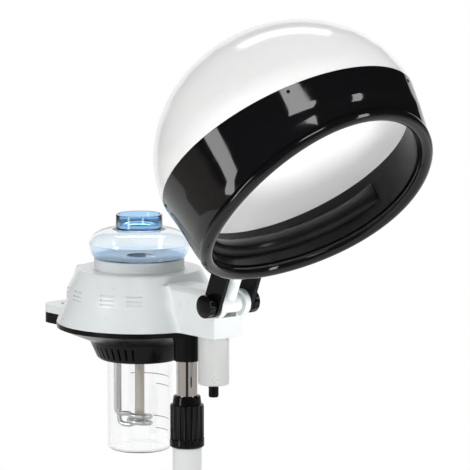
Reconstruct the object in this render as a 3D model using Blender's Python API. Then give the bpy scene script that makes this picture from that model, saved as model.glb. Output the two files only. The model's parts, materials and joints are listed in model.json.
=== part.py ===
"""Floor-standing hair steamer: a tilting steam hood on a boiler head, a height-adjustable mast and a rolling base.

Sizes are in millimetres and become metres when a mesh is made. +Z is up, +X points from the mast to the hood,
and the origin is the centre of the base hub's underside, on the mast's axis.
"""
import math

import bmesh
import bpy
from mathutils import Matrix, Vector

MM = 0.001

# Fits between pieces
GAP = 0.3
RUN = 0.5
EDGE_STEP = 0.2

# Rolling base
LEG_COUNT = 5
HUB_RADIUS = 46.0
HUB_HEIGHT = 76.0
HUB_FLOOR = 30.0
LEG_REACH = 285.0
LEG_ROOT_WIDTH = 42.0
LEG_TIP_WIDTH = 30.0
LEG_BOTTOM = 8.0
LEG_ROOT_HEIGHT = 34.0
LEG_TIP_HEIGHT = 20.0
CASTER_INSET = 17.0
CASTER_TRAIL = 14.0
WHEEL_RADIUS = 27.0
WHEEL_WIDTH = 21.0
WHEEL_CLEARANCE = 5.0
FORK_WALL = 6.0
FORK_LENGTH = 26.0

# Mast and column
COLUMN_RADIUS = 21.0
COLUMN_WALL = 2.5
MAST_RADIUS = 15.5
MAST_WALL = 1.8
COLLAR_TOP = 640.0
COLLAR_HEIGHT = 75.0
COLLAR_NECK_RADIUS = 19.5
COLLAR_NECK_HEIGHT = 12.0
COLLAR_RIB_RADIUS = 24.4
COLLAR_RIB_DEPTH = 1.6
COLLAR_RIBS = 16
COLLAR_BAND_RADIUS = 25.0
COLLAR_BAND_HEIGHT = 12.0
COLLAR_SHOULDER = 22.0
COLLET_LENGTH = 45.0
MAST_BELOW = 400.0

# Boiler head, heights above the twist collar's top
HEAD_OFFSET = 108.0
RIM_RADIUS = 120.5
PARTING = 95.0
RIM_BAND = 7.0
SHELL_WALL = 3.0
CONE_TOP_RADIUS = 73.0
CONE_TOP = 68.0
CONE_BOTTOM_RADIUS = 60.0
CONE_BOTTOM = 40.5
CONE_SLOTS = 9
SLOT_WIDTH = 3.0
SLOT_DEPTH = 3.0
SLOT_PITCH_DEG = 9.0
SLOT_MIDDLE_DEG = 250.0
SOCKET_RADIUS = 18.6
SOCKET_BOTTOM = 51.0
SOCKET_ROOF = 4.5
SHOULDER_RADIUS = 106.0
SHOULDER_BOTTOM = 128.0
SHOULDER_TOP = 143.0
SHOULDER_LEAN = 1.0
TOP_RADIUS = 92.0
HEAD_TOP = 172.5
TOP_ROUND = 3.0
TOP_OPENING = 60.0

# Carrying handle
HANDLE_REACH = 160.0
HANDLE_HALF_WIDTH = 60.0
HANDLE_CORNER = 22.0
HANDLE_BAR = 19.0
HANDLE_TOP = 12.0
HANDLE_UNDER = 15.0
HANDLE_ROOT = 70.0

# Louvres in the upper housing
LOUVRE_GROUPS_DEG = (214.0, 237.0, 262.0)
LOUVRES_PER_GROUP = 3
LOUVRE_WIDTH = 22.0
LOUVRE_HEIGHT = 2.6
LOUVRE_PITCH = 6.2

# Neck and tilt hinge
NECK_HALF_WIDTH = 26.0
NECK_FRONT = 91.0
NECK_TOP = 163.0
NECK_WALL = 4.0
NECK_ROOT = -70.0
HINGE_X = 92.0
HINGE_Z = 145.0
LUG_RADIUS = 19.0
LUG_THICKNESS = 9.0
ARM_THICKNESS = 6.0
ARM_WIDTH = 34.0
PIN_RADIUS = 5.0
KNOB_RADIUS = 17.0
KNOB_THICKNESS = 13.0
KNOB_LOBES = 10
KNOB_LOBE_DEPTH = 1.2
STEAM_SLOT_HALF = 16.0
STEAM_BARREL_RADIUS = 13.0
STEAM_TUBE_RADIUS = 9.0

# Water bottle, its collar and its valve
BOTTLE_COLLAR_RADIUS = 65.5
BOTTLE_COLLAR_TOP = 188.0
COLLAR_RECESS_RADIUS = 56.6
COLLAR_FLOOR = 160.0
BOTTLE_RADIUS = 72.5
BOTTLE_SEAT_RADIUS = 64.0
BOTTLE_BELLY = 209.0
BOTTLE_SHOULDER = 230.0
BOTTLE_WALL = 2.0
GRIP_RADIUS = 33.8
GRIP_TOP = 251.5
BOTTLE_NECK_RADIUS = 20.0
BOTTLE_NECK_LENGTH = 15.0
VALVE_CAP_WALL = 2.5
VALVE_PIN_RADIUS = 3.0
VALVE_PIN_DROP = 9.0

# Boiler jar and heater
JAR_RADIUS = 47.0
JAR_WALL = 3.0
JAR_BOTTOM = -94.0
JAR_CORNER = 9.0
GASKET_THICKNESS = 2.5
LEDGE = 62.0
PLATE_RADIUS = 56.5
PLATE_THICKNESS = 4.0
HEATER_TUBE_RADIUS = 3.6
HEATER_LOOP_RADIUS = 15.5
HEATER_TURNS = 2
HEATER_PITCH = 9.0
HEATER_LOOP_TOP = -42.0
HEATER_LEG_RADIUS = 34.0
HEATER_LEG_SPREAD_DEG = 28.0
FEED_TUBE_RADIUS = 7.0
FEED_TUBE_WALL = 1.5
FEED_TUBE_LENGTH = 113.0
THERMOSTAT_RADIUS = 11.0
THERMOSTAT_HEIGHT = 12.0
THERMOSTAT_OFFSET = 32.0
STEAM_PIPE_RADIUS = 8.0
STEAM_PIPE_OFFSET = 34.0

# Rear control panel
PANEL_HALF_WIDTH = 42.0
PANEL_HEIGHT = 32.0
PANEL_DEPTH = 14.0
PANEL_FACE_RADIUS = 101.0
PANEL_MIDDLE = 156.0
ROCKER_LENGTH = 20.0
ROCKER_WIDTH = 12.0
ROCKER_DEPTH = 8.0
ROCKER_PROUD = 2.0
ROCKER_Y = -14.0
LENS_RADIUS = 4.0
LENS_Y = 16.0
LENS_DEPTH = 6.0
BOARD_THICKNESS = 1.6

# Power gland under the head
GLAND_OFFSET_Y = 96.0
GLAND_RADIUS = 7.0
GLAND_FLANGE_RADIUS = 10.0
GLAND_FLANGE = 3.7
GLAND_LENGTH = 18.0
GLAND_BOSS_BOTTOM = 70.0

# Condensate cup
CUP_X = 59.5
CUP_RADIUS = 22.3
CUP_BOTTOM = 24.5
CUP_WALL = 2.0
CUP_SPIGOT_RADIUS = 12.0
CUP_SPIGOT_HEIGHT = 8.0
NIPPLE_RADIUS = 6.0
NIPPLE_LENGTH = 10.5
DRAIN_CAP_RADIUS = 7.2
DRAIN_CAP_HEIGHT = 18.0

# Hood, in its own axes: +Z along the dome's axis, +X to the hood's open front
HOOD_X = 222.0
HOOD_Z = 382.0
HOOD_TILT_DEG = 40.0
LINER_TOP_RADIUS = 166.0
RING_OVER_LINER = 25.5
LIP_OVER_LINER = 5.0
RING_TOP_RADIUS = LINER_TOP_RADIUS + RING_OVER_LINER
LIP_CENTRE_RADIUS = LINER_TOP_RADIUS + LIP_OVER_LINER
DOME_RADIUS = RING_TOP_RADIUS
DOME_HEIGHT = 167.0
DOME_WALL = 2.5
RING_TAPER = 11.5
RING_WALL = 3.0
LIP_DEPTH = 88.0
LIP_REAR_DROP = 16.0
LIP_SIDE_DROP = 7.6
LIP_RADIUS = 9.5
SKIRT_DEPTH = 33.0
LINER_WALL = 2.5
LINER_FLANGE = 2.5
CHANNEL_HALF_ANGLE_DEG = 74.0
CHANNEL_DEPTH = 12.0
CHANNEL_HEIGHT = 30.0
CHANNEL_ABOVE_LIP = 12.0
PAD_THICKNESS = 7.0
PAD_BACK = 6.0
PAD_HALF_HEIGHT = 17.0
PAD_BELOW_SEAM = 62.0

# Facets
FINE = 36
ROUND = 24
SMALL = 14

# Colours and finishes: red, green, blue, roughness, metallic
WHITE = (0.86, 0.88, 0.88, 0.30, 0.0)
MILK = (0.90, 0.90, 0.89, 0.18, 0.0)
BLACK = (0.012, 0.012, 0.013, 0.14, 0.0)
DARK_GREY = (0.05, 0.05, 0.055, 0.5, 0.0)
CHROME = (0.78, 0.78, 0.79, 0.10, 1.0)
STEEL = (0.55, 0.55, 0.56, 0.32, 1.0)
BLUE = (0.16, 0.42, 0.80, 0.06, 0.0)
GLASS = (0.93, 0.95, 0.95, 0.03, 0.0)
IVORY = (0.72, 0.68, 0.58, 0.40, 0.0)
RUBBER = (0.03, 0.03, 0.03, 0.70, 0.0)
GREEN = (0.05, 0.25, 0.10, 0.5, 0.0)
AMBER = (0.85, 0.30, 0.05, 0.15, 0.0)
CLOUDY = (0.82, 0.83, 0.80, 0.30, 0.0)


def clear_scene():
    for thing in list(bpy.data.objects):
        bpy.data.objects.remove(thing, do_unlink=True)


def finish_of(name, look):
    red, green, blue, roughness, metallic = look
    material = bpy.data.materials.new(name)
    material.use_nodes = True
    shader = material.node_tree.nodes["Principled BSDF"]
    shader.inputs["Base Color"].default_value = (red, green, blue, 1.0)
    shader.inputs["Roughness"].default_value = roughness
    shader.inputs["Metallic"].default_value = metallic
    return material


def pivot(name, place, parent=None):
    """An empty on a joint's axis; place is in millimetres, in the world."""
    empty = bpy.data.objects.new(name, None)
    bpy.context.scene.collection.objects.link(empty)
    set_place(empty, place, parent)
    return empty


def set_place(thing, place, parent):
    """Places a thing in the world, under a parent that is never turned."""
    thing.location = Vector(place) * MM
    above = parent
    if parent is not None:
        thing.parent = parent
    while above is not None:
        thing.location -= above.location
        above = above.parent


def add_object(name, bm, look, place=(0, 0, 0), turn=(0, 0, 0), parent=None):
    bmesh.ops.scale(bm, vec=(MM, MM, MM), verts=bm.verts)
    bmesh.ops.recalc_face_normals(bm, faces=bm.faces)
    mesh = bpy.data.meshes.new(name)
    bm.to_mesh(mesh)
    bm.free()
    mesh.shade_smooth()
    mesh.set_sharp_from_angle(angle=math.radians(32))
    mesh.materials.append(finish_of(name, look))
    thing = bpy.data.objects.new(name, mesh)
    thing.rotation_euler = turn
    bpy.context.scene.collection.objects.link(thing)
    set_place(thing, place, parent)
    return thing


def turned(profile, steps):
    """A closed (radius, height) outline turned round Z into a solid."""
    bm = bmesh.new()
    corners = [bm.verts.new((radius, 0.0, height)) for radius, height in profile]
    on_axis = profile[0][0] == 0.0 and profile[-1][0] == 0.0
    count = len(corners) - 1 if on_axis else len(corners)
    edges = [bm.edges.new((corners[i], corners[(i + 1) % len(corners)])) for i in range(count)]
    bmesh.ops.spin(bm, geom=corners + edges, cent=(0, 0, 0), axis=(0, 0, 1), angle=2 * math.pi, steps=steps,
                   use_merge=True)
    bmesh.ops.remove_doubles(bm, verts=bm.verts, dist=1e-4)
    return bm


def arc(centre, radius, start_deg, end_deg, count):
    """Points along a round stretch of an outline."""
    angles = [math.radians(start_deg + (end_deg - start_deg) * i / count) for i in range(count + 1)]
    return [(centre[0] + radius * math.cos(a), centre[1] + radius * math.sin(a)) for a in angles]


def prism(outline, low, high):
    """A flat outline in X and Y raised from one height to another."""
    bm = bmesh.new()
    face = bm.faces.new([bm.verts.new((x, y, low)) for x, y in outline])
    grown = bmesh.ops.extrude_face_region(bm, geom=[face])
    moved = [item for item in grown["geom"] if isinstance(item, bmesh.types.BMVert)]
    bmesh.ops.translate(bm, vec=(0, 0, high - low), verts=moved)
    return bm


def upright(outline, low, high):
    """A flat outline in X and Z, carried along Y."""
    bm = prism(outline, low, high)
    bmesh.ops.rotate(bm, verts=bm.verts, cent=(0, 0, 0), matrix=Matrix.Rotation(math.radians(90), 3, "X"))
    bmesh.ops.scale(bm, vec=(1, -1, 1), verts=bm.verts)
    return bm


def block(low, high, edge=0.0):
    """A box between two corners, with its edges eased."""
    bm = bmesh.new()
    bmesh.ops.create_cube(bm, size=1.0)
    size = Vector(high) - Vector(low)
    middle = (Vector(high) + Vector(low)) / 2
    bmesh.ops.scale(bm, vec=size, verts=bm.verts)
    bmesh.ops.translate(bm, vec=middle, verts=bm.verts)
    if edge > 0:
        bmesh.ops.bevel(bm, geom=bm.edges[:], offset=edge, segments=2, profile=0.5, affect="EDGES")
    return bm


def along_y(bm, place=(0, 0, 0)):
    """Lays a piece that was turned round Z along Y and moves it to its place."""
    bmesh.ops.rotate(bm, verts=bm.verts, cent=(0, 0, 0), matrix=Matrix.Rotation(math.radians(-90), 3, "X"))
    bmesh.ops.translate(bm, vec=place, verts=bm.verts)
    return bm


def merge_into(target, source):
    """Copies every part of one mesh into another, as separate shapes."""
    mesh = bpy.data.meshes.new("loose")
    source.to_mesh(mesh)
    source.free()
    target.from_mesh(mesh)
    bpy.data.meshes.remove(mesh)


def shape_with(target, bm, operation, place=(0, 0, 0), turn=(0, 0, 0)):
    """Joins a tool to an object or cuts it away; the tool stays as a hidden guide."""
    tool = add_object(target.name + "_" + operation.lower() + str(len(target.modifiers)), bm, DARK_GREY, place, turn)
    tool.hide_render = True
    tool.display_type = "WIRE"
    change = target.modifiers.new(operation.title(), "BOOLEAN")
    change.operation = operation
    change.object = tool
    change.solver = "EXACT"
    return tool


def round_bar(name, points, radius, look, sides, parent=None):
    """A round bar along a list of points, with closed ends."""
    curve = bpy.data.curves.new(name, "CURVE")
    curve.dimensions = "3D"
    curve.bevel_depth = radius * MM
    curve.bevel_resolution = sides
    curve.use_fill_caps = True
    spline = curve.splines.new("POLY")
    spline.points.add(len(points) - 1)
    for slot, point in zip(spline.points, points):
        slot.co = (*(Vector(point) * MM), 1.0)
    curve.materials.append(finish_of(name, look))
    thing = bpy.data.objects.new(name, curve)
    bpy.context.scene.collection.objects.link(thing)
    set_place(thing, (0, 0, 0), parent)
    return thing


def smooth_path(corners, radius, steps):
    """Straight runs through the corners with a round bend at each inner one."""
    points = [Vector(corners[0])]
    for before, corner, after in zip(corners, corners[1:], corners[2:]):
        corner = Vector(corner)
        start = corner + (Vector(before) - corner).normalized() * radius
        end = corner + (Vector(after) - corner).normalized() * radius
        for i in range(steps + 1):
            t = i / steps
            points.append(start * (1 - t) ** 2 + corner * 2 * t * (1 - t) + end * t ** 2)
    points.append(Vector(corners[-1]))
    return points


def head_z(height):
    """A height above the twist collar's top, in the world."""
    return COLLAR_TOP + height


# Rolling base
def build_base():
    socket = COLUMN_RADIUS + GAP
    hub_waist = HUB_RADIUS - 12.0
    profile = [(0, 0), (HUB_RADIUS, 0), (HUB_RADIUS, LEG_BOTTOM + LEG_ROOT_HEIGHT), (hub_waist, HUB_HEIGHT - 8),
               (hub_waist - 4, HUB_HEIGHT), (socket, HUB_HEIGHT), (socket, HUB_FLOOR), (0, HUB_FLOOR)]
    add_object("base_hub", turned(profile, FINE), BLACK)
    for number in range(LEG_COUNT):
        build_leg(number)


def leg_angle(number):
    return 2 * math.pi * number / LEG_COUNT


def build_leg(number):
    root = HUB_RADIUS + GAP
    tip = LEG_REACH
    bm = bmesh.new()
    bmesh.ops.create_cube(bm, size=1.0)
    for corner in bm.verts:
        at_tip = corner.co.x > 0
        half = (LEG_TIP_WIDTH if at_tip else LEG_ROOT_WIDTH) / 2
        top = LEG_BOTTOM + (LEG_TIP_HEIGHT if at_tip else LEG_ROOT_HEIGHT)
        corner.co.x = tip if at_tip else root - 6.0
        corner.co.y = half if corner.co.y > 0 else -half
        corner.co.z = top if corner.co.z > 0 else LEG_BOTTOM
    outer = [edge for edge in bm.edges if edge.calc_face_angle(0) > 0.5 and
             max(corner.co.x for corner in edge.verts) > root]
    bmesh.ops.bevel(bm, geom=outer, offset=5.0, segments=3, profile=0.5, affect="EDGES")
    leg = add_object(f"base_leg_{number + 1}", bm, WHITE, turn=(0, 0, leg_angle(number)))
    shape_with(leg, turned([(0, -10), (root, -10), (root, HUB_HEIGHT), (0, HUB_HEIGHT)], FINE), "DIFFERENCE")
    build_caster(number)


def build_caster(number):
    angle = leg_angle(number)
    reach = LEG_REACH - CASTER_INSET
    stem = Vector((reach * math.cos(angle), reach * math.sin(angle), LEG_BOTTOM - GAP))
    swivel = pivot(f"caster_swivel_{number + 1}", stem)
    inner = WHEEL_WIDTH / 2 + GAP
    outer = inner + FORK_WALL - 1.5
    drop = FORK_WALL + WHEEL_CLEARANCE + WHEEL_RADIUS
    low = -drop - 6.0
    outline = [(-outer, low), (-inner, low), (-inner, -FORK_WALL), (inner, -FORK_WALL), (inner, low), (outer, low),
               (outer, -FORK_WALL / 2), (outer - 3, 0), (3 - outer, 0), (-outer, -FORK_WALL / 2)]
    bm = prism(outline, -CASTER_TRAIL - FORK_LENGTH / 2, FORK_LENGTH / 2)
    turn_up = Matrix(((0, 0, 1), (1, 0, 0), (0, 1, 0)))
    bmesh.ops.transform(bm, matrix=turn_up.to_4x4(), verts=bm.verts)
    add_object(f"caster_fork_{number + 1}", bm, BLACK, stem, (0, 0, angle), swivel)
    axle = stem - Vector((CASTER_TRAIL * math.cos(angle), CASTER_TRAIL * math.sin(angle), drop))
    half = WHEEL_WIDTH / 2
    tread = WHEEL_RADIUS
    profile = [(0, half), (10, half), (13, half - 3), (tread - 3, half - 3), (tread, half - 6), (tread, 6 - half),
               (tread - 3, 3 - half), (13, 3 - half), (10, -half), (0, -half)]
    wheel = turned(profile, ROUND)
    half_facet = Matrix.Rotation(math.pi / ROUND, 3, "Z")
    bmesh.ops.rotate(wheel, verts=wheel.verts, cent=(0, 0, 0), matrix=half_facet)
    wheel = along_y(wheel)
    add_object(f"caster_wheel_{number + 1}", wheel, RUBBER, axle, (0, 0, angle), swivel)


# Column, twist collar and mast
def build_column():
    bore = COLUMN_RADIUS - COLUMN_WALL
    top = head_z(-COLLAR_SHOULDER) - GAP
    low = HUB_FLOOR + GAP
    add_object("column_tube", turned([(COLUMN_RADIUS, low), (COLUMN_RADIUS, top), (bore, top), (bore, low)], ROUND), WHITE)
    collet_top = top - GAP
    collet_low = collet_top - COLLET_LENGTH
    inner = MAST_RADIUS + GAP
    outer = bore - GAP
    add_object("collet_sleeve", turned([(outer, collet_low), (outer, collet_top), (inner, collet_top),
                                        (inner, collet_low)], ROUND), IVORY)
    build_twist_collar()


def build_twist_collar():
    bore = MAST_RADIUS + RUN
    seat = COLUMN_RADIUS + RUN
    low = -COLLAR_HEIGHT
    band = low + COLLAR_BAND_HEIGHT
    neck = -COLLAR_NECK_HEIGHT
    shoulder = -COLLAR_SHOULDER
    profile = [(bore, 0), (COLLAR_NECK_RADIUS - 1, 0), (COLLAR_NECK_RADIUS, -1), (COLLAR_NECK_RADIUS + 1.5, neck),
               (COLLAR_RIB_RADIUS - 0.6, neck - 1), (COLLAR_RIB_RADIUS, neck - 3), (COLLAR_RIB_RADIUS, band + 1),
               (COLLAR_BAND_RADIUS, band), (COLLAR_BAND_RADIUS, low + 2), (COLLAR_BAND_RADIUS - 2, low),
               (seat, low), (seat, shoulder), (bore, shoulder)]
    bm = turned(profile, COLLAR_RIBS * 3)
    for corner in bm.verts:
        flat = Vector((corner.co.x, corner.co.y, 0))
        if abs(flat.length - COLLAR_RIB_RADIUS) < 0.01:
            turn = math.atan2(flat.y, flat.x) * COLLAR_RIBS
            inward = COLLAR_RIB_DEPTH * (0.5 - 0.5 * math.cos(turn))
            corner.co -= flat.normalized() * inward
    add_object("height_collar", bm, BLACK, (0, 0, COLLAR_TOP))


def build_mast(mast):
    low = head_z(-MAST_BELOW)
    top = head_z(PARTING - SOCKET_ROOF) - GAP
    bore = MAST_RADIUS - MAST_WALL
    add_object("inner_mast", turned([(MAST_RADIUS, low), (MAST_RADIUS, top), (bore, top), (bore, low)], ROUND),
               CHROME, parent=mast)


# Boiler head
def head_centre(height=0.0):
    return (-HEAD_OFFSET, 0, head_z(height))


def cone_radius(height):
    share = (height - CONE_BOTTOM) / (CONE_TOP - CONE_BOTTOM)
    return CONE_BOTTOM_RADIUS + share * (CONE_TOP_RADIUS - CONE_BOTTOM_RADIUS)


def handle_outline(inset):
    """The carrying loop seen from above, from the housing's middle back round the bar."""
    reach = -HANDLE_REACH + inset
    half = HANDLE_HALF_WIDTH - inset
    corner = HANDLE_CORNER - inset / 2
    bend = arc((reach + corner, corner - half), corner, 270, 180, 6)
    other = [(x, -y) for x, y in reversed(bend)]
    return [(-HANDLE_ROOT, -half)] + bend + other + [(-HANDLE_ROOT, half)]


def build_lower_shell(head):
    parting = PARTING - GAP / 2
    wall = SHELL_WALL
    band = PARTING - RIM_BAND
    bore = JAR_RADIUS + RUN
    ledge_wall = PLATE_RADIUS + RUN
    ledge_top = LEDGE + PLATE_THICKNESS + 4.0
    profile = [(RIM_RADIUS, parting), (RIM_RADIUS, band), (CONE_TOP_RADIUS, CONE_TOP),
               (CONE_BOTTOM_RADIUS + 2, CONE_BOTTOM + 3), (CONE_BOTTOM_RADIUS - 2, CONE_BOTTOM), (bore, CONE_BOTTOM),
               (bore, LEDGE), (ledge_wall, LEDGE), (ledge_wall, ledge_top), (CONE_TOP_RADIUS - wall, ledge_top + 1),
               (RIM_RADIUS - wall, band + wall), (RIM_RADIUS - wall, parting)]
    shell = add_object("lower_shell", turned(profile, FINE), BLACK, head_centre(), parent=head)
    shape_with(shell, slot_cutters(), "DIFFERENCE", head_centre())
    mast_bore = MAST_RADIUS + RUN
    gland_bore = GLAND_RADIUS + GAP
    gland_boss = GLAND_FLANGE_RADIUS + 1
    gland_place = (-HEAD_OFFSET, GLAND_OFFSET_Y, head_z(0))
    for clear_radius, place in (((mast_bore + SOCKET_RADIUS) / 2, (0, 0, head_z(0))),
                                ((gland_bore + gland_boss) / 2, gland_place)):
        through = [(0, PARTING + 5), (clear_radius, PARTING + 5), (clear_radius, CONE_BOTTOM), (0, CONE_BOTTOM)]
        shape_with(shell, turned(through, SMALL), "DIFFERENCE", place)
    bar = prism(handle_outline(0.0), PARTING - HANDLE_UNDER, parting - EDGE_STEP)
    shape_with(shell, ring_of_handle(bar, RIM_RADIUS - wall - RUN), "UNION", head_centre())
    socket_top = parting - 2 * EDGE_STEP
    roof = PARTING - SOCKET_ROOF
    socket = [(0, socket_top), (SOCKET_RADIUS + 1, socket_top), (SOCKET_RADIUS, SOCKET_BOTTOM),
              (mast_bore, SOCKET_BOTTOM), (mast_bore, roof), (0, roof)]
    shape_with(shell, turned(socket, ROUND), "UNION", (0, 0, head_z(0)))
    boss_top = PARTING - 8
    boss = [(gland_boss, boss_top), (gland_boss, GLAND_BOSS_BOTTOM), (gland_bore, GLAND_BOSS_BOTTOM),
            (gland_bore, boss_top)]
    shape_with(shell, turned(boss, SMALL), "UNION", gland_place)


def ring_of_handle(bar, inside):
    """Clears the finger gap and the middle of the housing out of the handle's plate, ready to join."""
    plate = add_object("handle_blank", bar, DARK_GREY)
    gap = prism(handle_outline(HANDLE_BAR), -50.0, 250.0)
    shape_with(plate, gap, "DIFFERENCE")
    shape_with(plate, turned([(0, -50), (inside, -50), (inside, 250), (0, 250)], FINE), "DIFFERENCE")
    depsgraph = bpy.context.evaluated_depsgraph_get()
    shape = bmesh.new()
    shape.from_object(plate, depsgraph)
    bmesh.ops.scale(shape, vec=(1 / MM, 1 / MM, 1 / MM), verts=shape.verts)
    for guide in [change.object for change in plate.modifiers]:
        bpy.data.objects.remove(guide, do_unlink=True)
    bpy.data.objects.remove(plate, do_unlink=True)
    return shape


def slot_cutters():
    """Narrow upright grooves in the lower cone, as one set of blades."""
    blades = bmesh.new()
    first = SLOT_MIDDLE_DEG - SLOT_PITCH_DEG * (CONE_SLOTS - 1) / 2
    for number in range(CONE_SLOTS):
        inner = cone_radius(CONE_BOTTOM + 5) - SLOT_DEPTH
        blade = block((inner, -SLOT_WIDTH / 2, CONE_BOTTOM + 5), (inner + 30, SLOT_WIDTH / 2, CONE_TOP - 5))
        turn = Matrix.Rotation(math.radians(first + SLOT_PITCH_DEG * number), 3, "Z")
        bmesh.ops.rotate(blade, verts=blade.verts, cent=(0, 0, 0), matrix=turn)
        merge_into(blades, blade)
    return blades


def build_upper_housing(head):
    parting = PARTING + GAP / 2
    wall = SHELL_WALL
    outer = [(TOP_OPENING, HEAD_TOP), (TOP_RADIUS - TOP_ROUND, HEAD_TOP), (TOP_RADIUS, HEAD_TOP - TOP_ROUND),
             (SHOULDER_RADIUS - SHOULDER_LEAN, SHOULDER_TOP), (SHOULDER_RADIUS, SHOULDER_BOTTOM),
             (RIM_RADIUS - 1.5, PARTING + 4), (RIM_RADIUS, parting)]
    inner = [(RIM_RADIUS - wall, parting), (RIM_RADIUS - 1.5 - wall, PARTING + 4),
             (SHOULDER_RADIUS - wall, SHOULDER_BOTTOM), (SHOULDER_RADIUS - SHOULDER_LEAN - wall, SHOULDER_TOP - 1),
             (TOP_RADIUS - wall, HEAD_TOP - TOP_ROUND - 1), (TOP_RADIUS - TOP_ROUND - 1, HEAD_TOP - wall),
             (TOP_OPENING, HEAD_TOP - wall)]
    housing = add_object("upper_housing", turned(outer + inner, FINE), WHITE, head_centre(), parent=head)
    bar = prism(handle_outline(0.0), parting + EDGE_STEP, PARTING + HANDLE_TOP)
    shape_with(housing, ring_of_handle(bar, RIM_RADIUS - wall - 6.0), "UNION", head_centre())
    half = NECK_HALF_WIDTH
    neck_length = NECK_FRONT - NECK_ROOT
    neck = block((NECK_ROOT, -half, parting + 2 * EDGE_STEP), (NECK_FRONT, half, NECK_TOP))
    bmesh.ops.bevel(neck, geom=[edge for edge in neck.edges if abs(edge.calc_length() - neck_length) < 0.01 and
                                edge.verts[0].co.z > PARTING + 1],
                    offset=8.0, segments=3, profile=0.5, affect="EDGES")
    shape_with(housing, neck, "UNION", (0, 0, head_z(0)))
    for side in (-1, 1):
        middle = (NECK_HALF_WIDTH + GAP - LUG_THICKNESS / 2) * side
        lug = turned([(0, -LUG_THICKNESS / 2), (LUG_RADIUS, -LUG_THICKNESS / 2), (LUG_RADIUS, LUG_THICKNESS / 2),
                      (0, LUG_THICKNESS / 2)], ROUND)
        shape_with(housing, along_y(lug, (HINGE_X, middle, HINGE_Z)), "UNION", (0, 0, head_z(0)))
    hollow = block((NECK_ROOT - 20, NECK_WALL - half, parting + NECK_WALL),
                   (HINGE_X - STEAM_SLOT_HALF - NECK_WALL, half - NECK_WALL, NECK_TOP - NECK_WALL))
    shape_with(housing, hollow, "DIFFERENCE", (0, 0, head_z(0)))
    core_radius = TOP_OPENING + 22.0
    core = turned([(0, parting - 5), (core_radius, parting - 5), (core_radius, HEAD_TOP - wall - 4.0),
                   (0, HEAD_TOP - wall - 4.0)], FINE)
    shape_with(housing, core, "DIFFERENCE", head_centre())
    steam_slot = block((HINGE_X - STEAM_SLOT_HALF, -STEAM_SLOT_HALF, HINGE_Z - 20.0),
                       (HINGE_X + 60, STEAM_SLOT_HALF, NECK_TOP + 40))
    shape_with(housing, steam_slot, "DIFFERENCE", (0, 0, head_z(0)))
    pin_hole = turned([(0, -80), (PIN_RADIUS + GAP, -80), (PIN_RADIUS + GAP, 80), (0, 80)], SMALL)
    shape_with(housing, along_y(pin_hole, (HINGE_X, 0, HINGE_Z)), "DIFFERENCE", (0, 0, head_z(0)))
    spigot_hole = turned([(0, 80), (0, 120), (CUP_SPIGOT_RADIUS + RUN, 120), (CUP_SPIGOT_RADIUS + RUN, 80)][::-1], SMALL)
    shape_with(housing, spigot_hole, "DIFFERENCE", (CUP_X, 0, head_z(0)))
    shape_with(housing, louvre_cutters(), "DIFFERENCE", head_centre())
    envelope = block((-PANEL_DEPTH - GAP, -PANEL_HALF_WIDTH - GAP, -PANEL_HEIGHT / 2 - GAP),
                     (60.0, PANEL_HALF_WIDTH + GAP, PANEL_HEIGHT / 2 + GAP))
    shape_with(housing, envelope, "DIFFERENCE", panel_place(), panel_turn())


def louvre_cutters():
    """Short level slots through the side wall, in groups of three."""
    blades = bmesh.new()
    middle = (SHOULDER_BOTTOM + SHOULDER_TOP) / 2 + 4.0
    for angle in LOUVRE_GROUPS_DEG:
        for row in range(LOUVRES_PER_GROUP):
            height = middle + LOUVRE_PITCH * (row - (LOUVRES_PER_GROUP - 1) / 2)
            blade = block((SHOULDER_RADIUS - 25, -LOUVRE_WIDTH / 2, height - LOUVRE_HEIGHT / 2),
                          (SHOULDER_RADIUS + 25, LOUVRE_WIDTH / 2, height + LOUVRE_HEIGHT / 2))
            turn = Matrix.Rotation(math.radians(angle), 3, "Z")
            bmesh.ops.rotate(blade, verts=blade.verts, cent=(0, 0, 0), matrix=turn)
            merge_into(blades, blade)
    return blades


# Rear control panel: its own +X points out of the face
def panel_lean():
    return math.atan2(SHOULDER_RADIUS - SHOULDER_LEAN - TOP_RADIUS, HEAD_TOP - TOP_ROUND - SHOULDER_TOP)


def panel_turn():
    return (0, -panel_lean(), math.pi)


def panel_place():
    return (-HEAD_OFFSET - PANEL_FACE_RADIUS, 0, head_z(PANEL_MIDDLE))


def panel_point(x, y, z):
    """A point given in the panel's own axes, in the world."""
    lean = panel_lean()
    out = Vector((-math.cos(lean), 0, math.sin(lean)))
    up = Vector((math.sin(lean), 0, math.cos(lean)))
    return Vector(panel_place()) + out * x + Vector((0, -1, 0)) * y + up * z


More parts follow.
